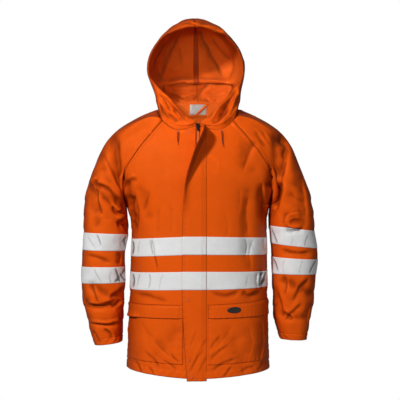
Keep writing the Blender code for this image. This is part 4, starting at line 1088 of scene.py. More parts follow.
def dressed(surface, us, vs, facing, edges=(), lift=0.0, creases=None, cracked=False):
    """A surface's grid with all its relief: edges lists pairs of an edge and what sewing does to it."""
    place = surface(us, vs)
    normal = normals_of(surface, us, vs, facing)
    pressed = relief(place, normal, creases)
    sewn = np.full(place.shape[:2], UNSEWN)
    finish = np.zeros(place.shape[:2])
    for edge, effect in edges:
        away, run = from_edge(place, edge)
        pull = effect(away, run)
        finish = np.where(np.abs(pull) > np.abs(finish), pull, finish)
        if effect not in (welted, stitched_down):
            sewn = np.minimum(sewn, away)
    cracks = tape_cracks(place, normal) if cracked else np.zeros(place.shape[:2])
    total = pressed + finish + lift + np.clip(CRACK_PRESS * cracks, -CRACK_LIMIT, CRACK_LIMIT)
    inside = 0.0 if creases is None else ease(0.2 + 1.8 * normal[..., 1])
    seen = pressed * (1 - 2 * inside)  # a crease drawn for the inside is a hollow on that side
    # painted shade: deep and sharp hollows take more of the cloth's dark colour
    hollow = -(seen + 2) / 22 + np.clip(1.3 * ruggedness(seen), 0, 0.75)
    return {
        "grid": place + normal * total[..., None],
        "normal": normal,
        "crease": np.clip(hollow, 0, 1),
        "sewn": sewn,
        "crack": np.clip(-cracks / 2.2, 0, 1),
    }


def sewn_piece(name, made, facing, nodes, **options):
    """A dressed grid as a cloth object that stands for its solids."""
    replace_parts(cloth(name, made, facing, **options), *nodes)


# %% [markdown]
# ## Fronts, back and sleeves
# Every grid has a row where each edge of a tape lies, and all pieces use the same relief. So a tape follows
# the dents of the cloth below it, and two panels meet along their seam without a slit. `partial` fixes
# the side of a surface, which leaves a function of two shares.

# %% Fronts and back
PANEL_STOPS = (HEM, -504, -454, -407, -357, ARMPIT)
FRONT_SHARES = steps(0, 1, apart=1 / 92)
BACK_SPREADS = steps(-1, 1, apart=1 / 60)
lapped = partial(seam, lap=1.0)
jacket = {}
for name, side in SIDES.items():
    edges = [("low_u", seam), ("high_u", lapped), ("low_v", hem), ("high_v", seam)]
    rows = steps(*PANEL_STOPS, NECK_FRONT)
    made = dressed(partial(panel, side, -1), FRONT_SHARES, rows, side, edges)
    jacket[f"front_{name}"] = made
    sewn_piece(f"shell_front_{name}", made, side, [f"front_{name}"])

edges = [("low_u", lapped), ("high_u", lapped), ("low_v", hem), ("high_v", seam)]
jacket["back"] = dressed(back, BACK_SPREADS, steps(*PANEL_STOPS, NECK_BACK), -1, edges)
sewn_piece("shell_back", jacket["back"], -1, ["back_lower", "back_upper"])
print("back grid", jacket["back"]["grid"].shape[:2])

# %% Sleeves
SLEEVE_TURNS = steps(0, 1, apart=1 / 150)
RING_STEP = 1 / 17

for name, side in SIDES.items():
    edges = [("low_u", seam), ("high_u", seam), ("low_v", partial(hem, deep=CUFF_DEEP)), ("high_v", seam)]
    rows = steps(*range(len(SLEEVE_RIGHT["depth"]) + 1), apart=RING_STEP)
    made = dressed(partial(sleeve, side), SLEEVE_TURNS, rows, side, edges)
    jacket[f"sleeve_{name}"] = made
    nodes = [f"sleeve_{name}_lower", f"sleeve_{name}_upper"]
    sewn_piece(f"shell_sleeve_{name}", made, side, nodes, closed=True)
print("sleeve grid", made["grid"].shape[:2])

# %% [markdown]
# ## Collar band and hood
# The face edge of the hood is a tunnel for the drawcord: the edge is turned in and stitched down 30 mm
# away, and the cord inside gathers it. The inside of the hood is the first thing seen from the front, so
# it carries its own creases. A narrow tape covers the centre seam inside.

# %% Band and hood
HOOD_PLACES = steps(0, 3, apart=3 / 120)
HOOD_STEPS = steps(0, 9, apart=9 / 136)
HOOD_TAPE_FOOT, HOOD_TAPE_COLUMNS = 44, 3  # the tape's first row on the hood, and its columns on each half
HOOD_TAPE_BEHIND, HOOD_TAPE_WALL = 1.7, 0.4


def tunnel(away, run):
    """The drawcord tunnel along the face edge, with gathers across it."""
    swell = 1.0 * np.exp(-(((away - 14) / 9) ** 2)) + 0.5 * (1 - ease((away - 30) / 2))
    line = -1.1 * np.exp(-(((away - TUNNEL_LINE) / 1.8) ** 2))
    gathers = np.sin(run / 3.6 + 0.05 * away + 2.1 * np.sin(run / 19)) * (0.6 + 0.4 * np.sin(run / 37))
    return swell + line + 0.7 * gathers * np.exp(-(((away - 24) / 16) ** 2))


BAND_SUNK = -0.9  # the band's edges lie behind the panels and the hood that it joins
made = dressed(band, steps(-3, 3, apart=6 / 170), steps(-0.12, 1.12, apart=0.1), -1, (), BAND_SUNK)
sewn_piece("shell_band", made, -1, ["collar_band"])
for name, side in SIDES.items():
    edges = [("low_u", tunnel), ("high_u", seam), ("low_v", seam), ("high_v", seam)]
    made = dressed(partial(hood, side), HOOD_PLACES, HOOD_STEPS, side, edges, creases=HOOD_CREASES)
    grid = made["grid"]
    for edge in (grid[:, -1], grid[-1]):  # both edges that meet the other half lie in the middle
        edge[:, 0] = np.interp(edge[:, 2], HOOD_LEAN["height"], HOOD_LEAN["shift"])
    jacket[f"hood_{name}"] = made
    sewn_piece(f"shell_hood_{name}", made, side, [f"hood_{name}"])
    strip = (grid - HOOD_TAPE_BEHIND * made["normal"])[HOOD_TAPE_FOOT:-1, -HOOD_TAPE_COLUMNS:]
    strip[:, -1, 0] = grid[HOOD_TAPE_FOOT:-1, -1, 0]
    # the centre seam tape is real; its dark finish also paints the shade along that seam
    cloth(f"hood_tape_{name}", {"grid": strip}, side, wall=HOOD_TAPE_WALL)
print("hood grid", made["grid"].shape[:2])

# %% [markdown]
# ## Storm flap
# Two layers of cloth turned and topstitched, so its free edge is a soft fold rather than a cut. It is
# stiffer than the fronts: long shallow waves run down it, and its foot is dragged askew at the hem.

# %% Storm flap
FLAP_SHARES = steps(0, 1, apart=1 / 24)
FLAP_WALL = 1.6
FLAP_STOPS = (-756, -504, -454, -407, -357, ARMPIT, -47)


def turned_edge(away, run):
    """A turned and topstitched edge: a soft round rim, then a stitch line that pulls in."""
    line = -0.7 * np.exp(-(((away - TOPSTITCH) / 1.4) ** 2))
    ripple = 0.35 * np.sin(run / 2.6 + 2 * np.sin(run / 21)) * np.exp(-(((away - 6) / 6) ** 2))
    return line + ripple - 0.5 * np.exp(-((away / 1.2) ** 2))


def flap_hem(away, run):
    """The flap's foot, a turned edge whose rim is pressed flat."""
    return turned_edge(away + 2, run)


edges = [("low_u", welted), ("high_u", turned_edge), ("low_v", flap_hem), ("high_v", turned_edge)]
made = dressed(storm_flap, FLAP_SHARES, steps(*FLAP_STOPS), -1, edges)
jacket["flap"] = made
sewn_piece("shell_storm_flap", made, -1, ["storm_flap"], wall=FLAP_WALL, outward=True)
print("flap grid", made["grid"].shape[:2])

# %% [markdown]
# ## Reflective tapes
# Glass-bead tape 50 mm wide is stitched on along both edges. It is the stiffest cloth here, so it creases
# in sharp lines. Each tape is read from the surface of the cloth below it, a little further out.

# %% Tapes
TAPE_LIFT, TAPE_WALL = 0.15, 0.7
TAPE_ROWS = {"low": (-504, -454), "high": (-407, -357)}
TAPE_RING_ROWS = {"low": (4, 5), "high": (6, 7)}
FRONT_TAPE_SHARES = steps(FRONT_SHARES[4], 1, apart=1 / 120)  # it begins just under the storm flap
SLEEVE_TAPE_TURNS = steps(0, 1, apart=1 / 170)


def tape_edge(away, run):
    """A tape's stitched edge: the thread pulls a shallow line in."""
    return -0.35 * np.exp(-(((away - TAPE_LINE) / 1.2) ** 2))


def tape(name, surface, us, vs, facing, ends, lift=TAPE_LIFT, cracked=False, closed=False):
    """One reflective tape on a surface, stitched on at its long edges and sewn in at these ends."""
    edges = [("low_v", tape_edge), ("high_v", tape_edge), *ends]
    made = dressed(surface, us, vs, facing, edges, lift, cracked=cracked)
    jacket[f"tape_{name}"] = made
    sewn_piece(f"band_{name}", made, facing, [f"tape_{name}"], wall=TAPE_WALL, outward=True, closed=closed)


OVER_FLAP = FLAP_WALL + TAPE_LIFT
for place, (low, high) in TAPE_ROWS.items():
    for name, side in SIDES.items():
        front, ends = partial(panel, side, -1), [("high_u", lapped)]
        rows = steps(low, high, apart=2)
        tape(f"front_{name}_{place}", front, FRONT_TAPE_SHARES, rows, side, ends, cracked=True)
        arm, ends = partial(sleeve, side), [("low_u", seam), ("high_u", seam)]
        rows = steps(*TAPE_RING_ROWS[place], apart=RING_STEP / 1.3)
        tape(f"sleeve_{name}_{place}", arm, SLEEVE_TAPE_TURNS, rows, side, ends, cracked=True, closed=True)
    rows = steps(low, high)
    tape(f"back_{place}", back, BACK_SPREADS, rows, -1, [("low_u", lapped), ("high_u", lapped)])
    tape(f"flap_{place}", storm_flap, FLAP_SHARES, rows, -1, [("low_u", welted)], lift=OVER_FLAP)
print("tapes", len([name for name in jacket if name.startswith("tape")]))

# %% [markdown]
# ## Pockets
# A patch pocket is one layer stitched down on three sides, with room for a hand, so it swells in the
# middle. Its flap hangs from its own seam above the mouth and rests on the swell.

# %% Pockets
POCKET_FOOT, FLAP_FOOT, POCKET_TOP, POCKET_MOUTH = -712.0, -584.0, -546.0, -565.0
POCKET_SHARES = {"right": (0.085, 0.93), "left": (0.05, 0.93)}
POCKET_FLAP_SHARES = {"right": (0.085, 0.975), "left": (0.05, 0.975)}
POCKET_WALL = 1.2
POCKET_LIFT = 0.2
POCKET_SWELL = 5.0  # how far the middle of a pocket stands off the front
POCKET_APART = 1 / 92
FLAP_OVER_POCKET = 2.2  # how far a pocket flap lies over its pocket
FLAP_GAPE = 7.0  # how far the right flap stands off its pocket, where the mouth gapes
FLAP_SHADOW_PAINT = 0.95


def gape(share):
    """Where along the right pocket its mouth gapes: a painted shadow under its flap lies there too."""
    return np.exp(-(((share - 0.72) / 0.14) ** 4))


def pocket_bulge(share, row, shares):
    """How far a patch pocket stands off the front."""
    low, high = shares
    across = np.sin(np.pi * np.clip((share - low) / (high - low), 0, 1))
    up = ease((row - POCKET_FOOT) / 60) * ease((POCKET_TOP + 30 - row) / 90)
    return POCKET_SWELL * across * up


for name, side in SIDES.items():
    front = partial(panel, side, -1)
    ends = POCKET_SHARES[name]
    shares, rows = steps(*ends, apart=POCKET_APART), steps(POCKET_FOOT, POCKET_MOUTH)
    share, row = np.meshgrid(shares, rows)
    edges = [("low_u", stitched_down), ("high_u", stitched_down), ("low_v", stitched_down)]
    made = dressed(front, shares, rows, side, edges, POCKET_LIFT + pocket_bulge(share, row, ends))
    if name == "right":
        # painted shadow under the right flap, along its gaping mouth
        painted_flap_shadow = FLAP_SHADOW_PAINT * gape(share) * (1 - ease((FLAP_FOOT + 1 - row) / 9))
        made["crease"] = np.maximum(made["crease"], painted_flap_shadow)
    jacket[f"pocket_{name}"] = made
    sewn_piece(f"patch_{name}", made, side, [f"pocket_{name}"], wall=POCKET_WALL, outward=True)

    ends = POCKET_FLAP_SHARES[name]
    shares, rows = steps(*ends, apart=POCKET_APART), steps(FLAP_FOOT, POCKET_TOP, apart=3)
    share, row = np.meshgrid(shares, rows)
    lift = POCKET_LIFT + pocket_bulge(share, row, ends)
    lift += FLAP_OVER_POCKET * ease((POCKET_TOP - row) / 14) * ease((share - shares[0]) / 0.05)
    if name == "right":
        lift += FLAP_GAPE * gape(share) * ease((POCKET_MOUTH - row) / 18)
    edges = [("low_u", turned_edge), ("high_u", turned_edge), ("low_v", turned_edge), ("high_v", lapped)]
    made = dressed(front, shares, rows, side, edges, lift)
    jacket[f"pocket_flap_{name}"] = made
    sewn_piece(f"patch_flap_{name}", made, side, [f"pocket_flap_{name}"], wall=POCKET_WALL, outward=True)
print("pocket grid", jacket["pocket_right"]["grid"].shape[:2])


# %% [markdown]
# ## Zip
# A coarse moulded zip: cloth strips behind both front edges, with teeth that meet in the middle. The teeth
# show only in the open V at the neck, but the whole chain is there. One tooth is a rounded block with a
# waist, repeated up both strips and shifted by half a step between them.

# %% Zip strips and teeth
ZIP_TOP, ZIP_FOOT, ZIP_TAPE_WIDTH = -42.0, -742.0, 15.0
TOOTH_STEP = 3.2
TOOTH_SIZE = (5.4, 2.1, 2.4)
TOOTH_WAIST, TOOTH_BEVEL = 0.62, 0.35
TOOTH_ASIDE = 0.9  # from the zip's centre line to a tooth's middle
ZIP_TAPE_GAP, ZIP_TAPE_WALL = 0.2, 0.9
ZIP_BEHIND = -(SHELL + 0.9)  # the strips lie inside the fronts


def standing(spot, out, up):
    """A matrix for a part that stands on the cloth: Z points out of it and Y up it."""
    right = up.cross(out).normalized()
    place = Matrix((right, out.cross(right), out)).transposed().to_4x4()
    place.translation = spot
    return place


def zip_strip(low_x, high_x):
    """A strip that runs down behind the zip edges."""
    def surface(shares, heights):
        share, height = np.meshgrid(shares, heights)
        x = low_x + (high_x - low_x) * share
        return points(x, -along(BODY, "front", height), height)
    return surface


for name, side in SIDES.items():
    strip = zip_strip(side * ZIP_TAPE_GAP, side * ZIP_TAPE_WIDTH)
    made = dressed(strip, steps(0, 1, apart=0.25), steps(ZIP_FOOT, ZIP_TOP), side, (), ZIP_BEHIND)
    sewn_piece(f"zip_strip_{name}", made, side, [f"zip_tape_{name}"], wall=ZIP_TAPE_WALL)

heights = steps(ZIP_FOOT + 4, ZIP_TOP - 8, apart=TOOTH_STEP / 2)
made = dressed(zip_strip(-3.0, 3.0), steps(0, 1, apart=0.5), heights, 1, (), ZIP_BEHIND)
line, outs = made["grid"][:, 1], made["normal"][:, 1]
size = Matrix.Diagonal((*TOOTH_SIZE, 1))
bm = bmesh.new()
for i, (spot, out) in enumerate(zip(line, outs)):
    side = 1 if i % 2 else -1
    out = Vector(out)
    up = Vector(line[min(i + 1, len(line) - 1)] - line[max(i - 1, 0)]).normalized()
    turn = standing(Vector(spot) + out, out, up)
    tooth = bmesh.ops.create_cube(bm, size=1)["verts"]
    for vertex in tooth:
        if vertex.co.x * side < 0:
            vertex.co.y *= TOOTH_WAIST
    aside = Matrix.Translation((side * TOOTH_ASIDE, 0, 0))
    bmesh.ops.transform(bm, matrix=turn @ aside @ size, verts=tooth)
bmesh.ops.bevel(bm, geom=bm.edges, offset=TOOTH_BEVEL, segments=1, profile=0.5, affect="EDGES", material=-1)
bmesh.ops.scale(bm, vec=(MM, MM, MM), verts=bm.verts)
chain = linked("zip_chain", mesh_of("zip_chain", bm))
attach(chain, "garment")
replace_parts(chain, "zip_teeth")
print("teeth", len(line))

# %% [markdown]
# ## Neck label, hanging loop and badge
# A blank woven label is sewn inside the band with the hanging loop across it. The pocket's badge is a
# plain rubber oval with a raised rim, with nothing on it.

# %% Label, loop and badge
LABEL_BEHIND = BAND_SUNK - SHELL - 0.4
LOOP_WIDTH, LOOP_SLACK = 9.0, 2.2
made = dressed(band, steps(-0.26, 0.26, apart=0.04), steps(0.05, 0.95, apart=0.15), -1, (), LABEL_BEHIND)
sewn_piece("neck_patch", made, -1, ["neck_label"], wall=0.5)

ends = dressed(band, (-0.05, 0.3), (0.02, 1.0), -1, (), LABEL_BEHIND - 0.9)
foot, top = ends["grid"][0, 0], ends["grid"][1, 1]
inward = -ends["normal"][0, 0]
share = np.linspace(0, 1, 9)[:, None]
middle = foot + (top - foot) * share + inward * LOOP_SLACK * np.sin(np.pi * share)
across = points(np.linspace(-LOOP_WIDTH / 2, LOOP_WIDTH / 2, 3), 0, 0)
sewn_piece("hanging_loop", {"grid": middle[:, None] + across[None]}, -1, ["hanger_loop"], wall=0.7)

BADGE_SHARE, BADGE_ROW = 0.274, -562.5  # its middle on the left pocket flap
BADGE_HALF_SHARE, BADGE_HALF_HEIGHT, BADGE_LIFT = 0.0695, 7.4, 0.25
BADGE_PROFILE = table("reach height", (0, 0.9), (0.72, 0.9), (0.8, 1.5), (0.93, 1.5), (1, 0.5))


def badge_face(turns, reaches):
    """The badge's face on the pocket flap: reach 0 is its middle and 1 its rim."""
    turn, reach = np.meshgrid(turns, reaches)
    share = BADGE_SHARE + BADGE_HALF_SHARE * reach * np.cos(2 * np.pi * turn)
    row = BADGE_ROW + BADGE_HALF_HEIGHT * reach * np.sin(2 * np.pi * turn)
    quarter = share * np.pi / 2
    rise = along(BODY, "left_rise", row) * power(np.sin(quarter), 1.2)
    return body(1, -1, quarter, row + rise), share, row


reaches = np.array((0.02, 0.3, 0.55, 0.72, 0.8, 0.86, 0.93, 1.0))
place, share, row = badge_face(np.linspace(0, 1, 49), reaches)
shares, rows = (BADGE_SHARE - 0.01, BADGE_SHARE + 0.01), (BADGE_ROW - 1, BADGE_ROW + 1)
normal = np.broadcast_to(normals_of(partial(panel, 1, -1), shares, rows, 1)[0, 0], place.shape)
lift = POCKET_LIFT + pocket_bulge(share, row, POCKET_FLAP_SHARES["left"])
lift += FLAP_OVER_POCKET * ease((POCKET_TOP - row) / 14) + POCKET_WALL + BADGE_LIFT + relief(place, normal)
lift += np.interp(reaches, *BADGE_PROFILE.values())[:, None]
made = {"grid": place + normal * lift[..., None]}
sewn_piece("pocket_emblem", made, 1, ["pocket_badge"], wall=0.6, closed=True)
print("badge", made["grid"].shape[:2])

# %% [markdown]
# ## Press studs
# Capped studs: a domed cap with a rolled rim, spun from its profile.

# %% Press studs
STUDS = (
    ("snap_top", "front_right", -28.0, -66.0),
    ("snap_mid", "storm_flap", -27.0, -530.0),
    ("snap_low", "storm_flap", -27.4, -698.0),
    ("snap_hem", "storm_flap", -18.0, -743.0),
)
CAP = ((0, 1.15), (2.2, 1.1), (3.6, 0.95), (4.1, 1.25), (4.8, 1.35), (5.4, 1.0), (5.6, 0.4), (5.5, 0.0))


def seat(x, height, lift=0.0):
    """A place on the fronts as a matrix in millimetres, pressed in with the cloth there."""
    step = 0.5
    slope_x = (front_y(x + step, height) - front_y(x - step, height)) / (2 * step)
    slope_z = (front_y(x, height + step) - front_y(x, height - step)) / (2 * step)
    out = Vector((slope_x, -1, slope_z)).normalized()
    up = Vector((0, slope_z, 1)).normalized()
    spot = np.array((x, front_y(x, height), height))
    pressed = relief(spot[None], np.array(out)[None])
    return standing(Vector(spot) + out * (lift + float(pressed[0])), out, up)


for name, carrier, x, height in STUDS:
    bm = bmesh.new()
    rim = [bm.verts.new((radius, 0, z)) for radius, z in CAP]
    edges = [bm.edges.new(pair) for pair in zip(rim, rim[1:])]
    whole = {"angle": 2 * math.pi, "steps": 28, "use_merge": True}
    bmesh.ops.spin(bm, geom=rim + edges, cent=(0, 0, 0), axis=(0, 0, 1), **whole)
    bmesh.ops.remove_doubles(bm, verts=bm.verts, dist=1e-3)
    bmesh.ops.recalc_face_normals(bm, faces=bm.faces)
    if sum(face.normal.z * face.calc_area() for face in bm.faces) < 0:
        bmesh.ops.reverse_faces(bm, faces=bm.faces)
    lift = FLAP_LIFT + FLAP_WALL if carrier == "storm_flap" else 0.0
    bmesh.ops.transform(bm, matrix=Matrix.Scale(MM, 4) @ seat(x, height, lift), verts=bm.verts)
    mesh = mesh_of(f"stud_{name}", bm)
    mesh.shade_smooth()
    stud = linked(f"stud_{name}", mesh)
    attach(stud, "garment")
    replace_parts(stud, name)
print("studs", len(STUDS))


# %% [markdown]
# ## Stitching
# A lockstitch seam is a row of short thread lengths, each pulled down a little into the cloth. A machine
# sews them 3 to 4 mm apart. Each line here is laid at a fixed distance from an edge of a dressed grid, so it
# follows every crease, and one small block stands for each stitch.

# %% Lines of stitches
STITCH_PITCH = 4.0
STITCH_SIZE = (2.5, 0.55, 0.4)
FROM_EDGE = {
    "low_u": lambda grid: grid,
    "high_u": lambda grid: grid[:, ::-1],
    "low_v": lambda grid: grid.swapaxes(0, 1),
    "high_v": lambda grid: grid.swapaxes(0, 1)[:, ::-1],
}


def between(places, knots, rows):
    """Rows of numbers, read at places between their knots."""
    return np.stack([np.interp(places, knots, column) for column in rows.T], axis=-1)


def inset_line(made, edge, inset):
    """Points and outward normals of a line that keeps its distance from one edge of a dressed grid."""
    grid, normal = (FROM_EDGE[edge](made[key]) for key in ("grid", "normal"))
    away = cloth_lengths(grid)[0]
    return [np.stack([between(inset, gone, row) for gone, row in zip(away, rows)]) for rows in (grid, normal)]


def stitch_line(bm, made, edge, inset, wall):
    """Adds one line's stitches to a bmesh, on top of a wall of that thickness."""
    spots, outs = inset_line(made, edge, inset)
    gone = np.pad(np.cumsum(np.linalg.norm(np.diff(spots, axis=0), axis=-1)), (1, 0))
    marks = np.arange(2, gone[-1] - 2, STITCH_PITCH)
    line = bmesh.new()
    stitches = zip(between(marks, gone, spots), between(marks + 1, gone, spots), between(marks, gone, outs))
    for place, towards, normal in stitches:
        run = Vector(towards - place).normalized()
        out = Vector(normal)
        across = out.cross(run).normalized()
        turn = Matrix((run, across, run.cross(across))).transposed().to_4x4()
        turn.translation = Vector(place) + out * (wall + 0.1)
        bmesh.ops.create_cube(line, size=1, matrix=turn @ Matrix.Diagonal((*STITCH_SIZE, 1)))
    mesh = mesh_of("line", line)
    bm.from_mesh(mesh)
    bpy.data.meshes.remove(mesh)
    return len(marks)


# Each finished object takes the lines of several kinds of grid. A kind is given by the start of its grids'
# names, the wall under the thread, and how far in from each edge its lines lie.
LAP, HEMMED, RIM = (3, 9), (HEM_DEEP + 0.5,), (2,)
PATCH_LINES = dict.fromkeys(("low_u", "high_u", "low_v"), (PATCH_LINE,))
STITCHED = {
    "stitches_seams": (
        ("front_", 0.0, {"high_u": LAP, "low_v": HEMMED, "high_v": (4,)}),
        ("back", 0.0, {"low_u": LAP, "high_u": LAP, "low_v": HEMMED, "high_v": (4,)}),
        ("sleeve_", 0.0, {"low_v": (CUFF_DEEP + 0.5,), "low_u": (3,)}),
    ),
    "stitches_hood": (("hood_", 0.0, {"low_u": (TUNNEL_LINE,), "high_u": LAP}),),
    "stitches_flap": (("flap", FLAP_WALL, {"low_u": (8,), "high_u": (2, TOPSTITCH), "low_v": (TOPSTITCH,)}),),
    "stitches_pockets": (
        *((f"pocket_{name}", POCKET_WALL, PATCH_LINES) for name in SIDES),
        ("pocket_flap_", POCKET_WALL, {"low_u": RIM, "high_u": RIM, "low_v": (2, TOPSTITCH), "high_v": (4,)}),
    ),
    "stitches_tapes": (("tape_", TAPE_WALL, {"low_v": (TAPE_LINE,), "high_v": (TAPE_LINE,)}),),
}
for name, seams in STITCHED.items():
    bm = bmesh.new()
    count = 0
    for start, wall, lines in seams:
        for made in (jacket[grid_name] for grid_name in jacket if grid_name.startswith(start)):
            for edge, insets in lines.items():
                count += sum(stitch_line(bm, made, edge, inset, wall) for inset in insets)
    bmesh.ops.scale(bm, vec=(MM, MM, MM), verts=bm.verts)
    stitches = linked(name, mesh_of(name, bm))
    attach(stitches, "garment")
    print(name, count)

# %% [markdown]
# ## Cut sizes
# Every cloth piece is listed with the flat size it is cut to before sewing: its width, length and area
# in metres. A tube is given all round. The table also says how each is held and what it rests on: the
# panels hang from each other, and tapes and patches lie on them.

# %% Sheets
PANELS = ["shell_front_right", "shell_front_left", "shell_back"]
CUTS = (
    ("shell_front_right", 0.305, 0.800, 0.178, "hung", ["shell_sleeve_right", "shell_back"]),
    ("shell_front_left", 0.305, 0.800, 0.178, "hung", ["shell_sleeve_left", "shell_back"]),
    ("shell_back", 0.600, 0.840, 0.368, "hung", ["shell_sleeve_right", "shell_sleeve_left"]),
    ("shell_sleeve_right", 0.540, 0.820, 0.270, "hung", PANELS),
    ("shell_sleeve_left", 0.540, 0.820, 0.270, "hung", PANELS),
    ("shell_band", 0.760, 0.045, 0.018, "draped", PANELS),
    ("shell_hood_right", 0.390, 0.430, 0.086, "draped", ["shell_band", "shell_hood_left"]),
    ("shell_hood_left", 0.390, 0.430, 0.086, "draped", ["shell_band", "shell_hood_right"]),
    ("hood_tape_right", 0.010, 0.215, 0.0015, "laid", ["shell_hood_right"]),
    ("hood_tape_left", 0.010, 0.215, 0.0015, "laid", ["shell_hood_left"]),
    ("shell_storm_flap", 0.070, 0.725, 0.048, "hung", ["shell_front_left"]),
    ("band_front_right_low", 0.258, 0.050, 0.0127, "laid", ["shell_front_right"]),
    ("band_front_left_low", 0.258, 0.050, 0.0124, "laid", ["shell_front_left"]),
    ("band_front_right_high", 0.255, 0.050, 0.0126, "laid", ["shell_front_right"]),
    ("band_front_left_high", 0.255, 0.050, 0.0125, "laid", ["shell_front_left"]),
    ("band_back_low", 0.560, 0.050, 0.0270, "laid", ["shell_back"]),
    ("band_back_high", 0.552, 0.050, 0.0270, "laid", ["shell_back"]),
    ("band_flap_low", 0.070, 0.050, 0.0035, "laid", ["shell_storm_flap"]),
    ("band_flap_high", 0.070, 0.050, 0.0035, "laid", ["shell_storm_flap"]),
    ("band_sleeve_right_low", 0.415, 0.050, 0.0205, "laid", ["shell_sleeve_right"]),
    ("band_sleeve_left_low", 0.415, 0.050, 0.0205, "laid", ["shell_sleeve_left"]),
    ("band_sleeve_right_high", 0.445, 0.050, 0.0220, "laid", ["shell_sleeve_right"]),
    ("band_sleeve_left_high", 0.445, 0.050, 0.0220, "laid", ["shell_sleeve_left"]),
    ("patch_right", 0.227, 0.150, 0.0320, "laid", ["shell_front_right"]),
    ("patch_left", 0.243, 0.155, 0.0360, "laid", ["shell_front_left"]),
    ("patch_flap_right", 0.238, 0.041, 0.0094, "laid", ["patch_right"]),
    ("patch_flap_left", 0.256, 0.045, 0.0107, "laid", ["patch_left"]),
    ("zip_strip_right", 0.015, 0.712, 0.0106, "hung", ["shell_front_right"]),
    ("zip_strip_left", 0.015, 0.712, 0.0106, "hung", ["shell_front_left"]),
    ("neck_patch", 0.050, 0.031, 0.0015, "laid", ["shell_band"]),
    ("hanging_loop", 0.010, 0.048, 0.0004, "hung", ["shell_band"]),
)
for name, width, length, area, held, rests_on in CUTS:
    print(f"{name}: cut {width:.3f} x {length:.3f}, {area:.4f} m2, sewn {sewn_area[name]:.4f} m2")
print("whole cut", round(sum(row[3] for row in CUTS), 3), "m2")


# %% [markdown]
# ## Finishes
# Every finish is procedural. An effect that several finishes share is a node group with named inputs,
# built once: the weave, and the dyed colour of coated cloth with its painted shade. Each material places
# the group with its own values and keeps its shader to itself.

# %% Node helpers
def new_group(name, inputs, outputs):
    """A shader node group with named float or colour sockets, and its own input and output nodes."""
    made = bpy.data.node_groups.new(name, "ShaderNodeTree")
    for label, kind, value in inputs:
        socket = made.interface.new_socket(label, in_out="INPUT", socket_type=f"NodeSocket{kind}")
        if value is not None:
            socket.default_value = value
    for label, kind in outputs:
        made.interface.new_socket(label, in_out="OUTPUT", socket_type=f"NodeSocket{kind}")
    return made, made.nodes.new("NodeGroupInput"), made.nodes.new("NodeGroupOutput")


def place_node(tree, kind, settings=(), **sockets):
    """Adds a node. Its sockets are given by name or by i and a number, as values or as other outputs."""
    node = tree.nodes.new(f"ShaderNode{kind}")
    for key, value in dict(settings).items():
        setattr(node, key, value)
    for key, value in sockets.items():
        index = int(key[1:]) if key[0] == "i" and key[1:].isdigit() else key.replace("_", " ")
        if isinstance(value, bpy.types.NodeSocket):
            tree.links.new(value, node.inputs[index])
        else:
            node.inputs[index].default_value = value
    return node


def lead(tree, node, **sources):
    """Links other nodes' outputs to a node's sockets, which are given by name."""
    for key, source in sources.items():
        tree.links.new(source, node.inputs[key.replace("_", " ")])


def maths(tree, operation, first, second=0.0, clamp=False):
    """Arithmetic on one or two values."""
    settings = {"operation": operation, "use_clamp": clamp}
    return place_node(tree, "Math", settings, i0=first, i1=second).outputs[0]


def read(tree, name):
    """A float attribute of the piece."""
    return place_node(tree, "Attribute", {"attribute_name": name}).outputs["Fac"]


def blended(tree, share, first, second, kind="MIX"):
    """Two colours mixed by a share."""
    node = place_node(tree, "Mix", {"data_type": "RGBA", "blend_type": kind}, i0=share, i6=first, i7=second)
    return node.outputs[2]


def object_place(tree):
    """Where a point lies on the piece, in metres."""
    return place_node(tree, "TexCoord").outputs["Object"]


def speckle(tree, place, scale, detail, roughness=0.5):
    """A field of smooth random values from 0 to 1."""
    node = place_node(tree, "TexNoise", (), Vector=place, Scale=scale, Detail=detail, Roughness=roughness)
    return node.outputs[0]


def remap(tree, value, low, high, first, last):
    """A value moved from one range to another and kept inside it."""
    node = place_node(tree, "MapRange", (), Value=value)
    for label, number in (("From Min", low), ("From Max", high), ("To Min", first), ("To Max", last)):
        node.inputs[label].default_value = number
    return node.outputs[0]


# %% [markdown]
# ### Weave
# Plain weave is two sets of threads that go over and under each other in turn. Two sine waves across the
# UV map, swapped like a chessboard, give it. The UV map is in metres, so the thread's pitch is a real
# length. Thread count is around 20 to the centimetre.

# %% Weave group
weave, given, result = new_group(
    "plain weave",
    [("Pitch", "Float", 0.0005)],
    [("Height", "Float"), ("Gap", "Float")],
)
spot = place_node(weave, "UVMap", {"uv_map": "cloth"}).outputs[0]
halves = place_node(weave, "SeparateXYZ", (), Vector=spot)
across, up = (maths(weave, "DIVIDE", halves.outputs[i], given.outputs["Pitch"]) for i in (0, 1))
waves = (maths(weave, "SINE", maths(weave, "MULTIPLY", part, math.pi)) for part in (across, up))
warp, weft = (maths(weave, "ABSOLUTE", wave) for wave in waves)
cells = maths(weave, "ADD", maths(weave, "FLOOR", across), maths(weave, "FLOOR", up))
over = maths(weave, "MODULO", maths(weave, "ABSOLUTE", cells), 2.0)
under = maths(weave, "SUBTRACT", 1.0, over)
height = maths(weave, "ADD", maths(weave, "MULTIPLY", warp, over), maths(weave, "MULTIPLY", weft, under))
gap = maths(weave, "SUBTRACT", 1.0, maths(weave, "MULTIPLY", warp, weft))
lead(weave, result, Height=height, Gap=gap)
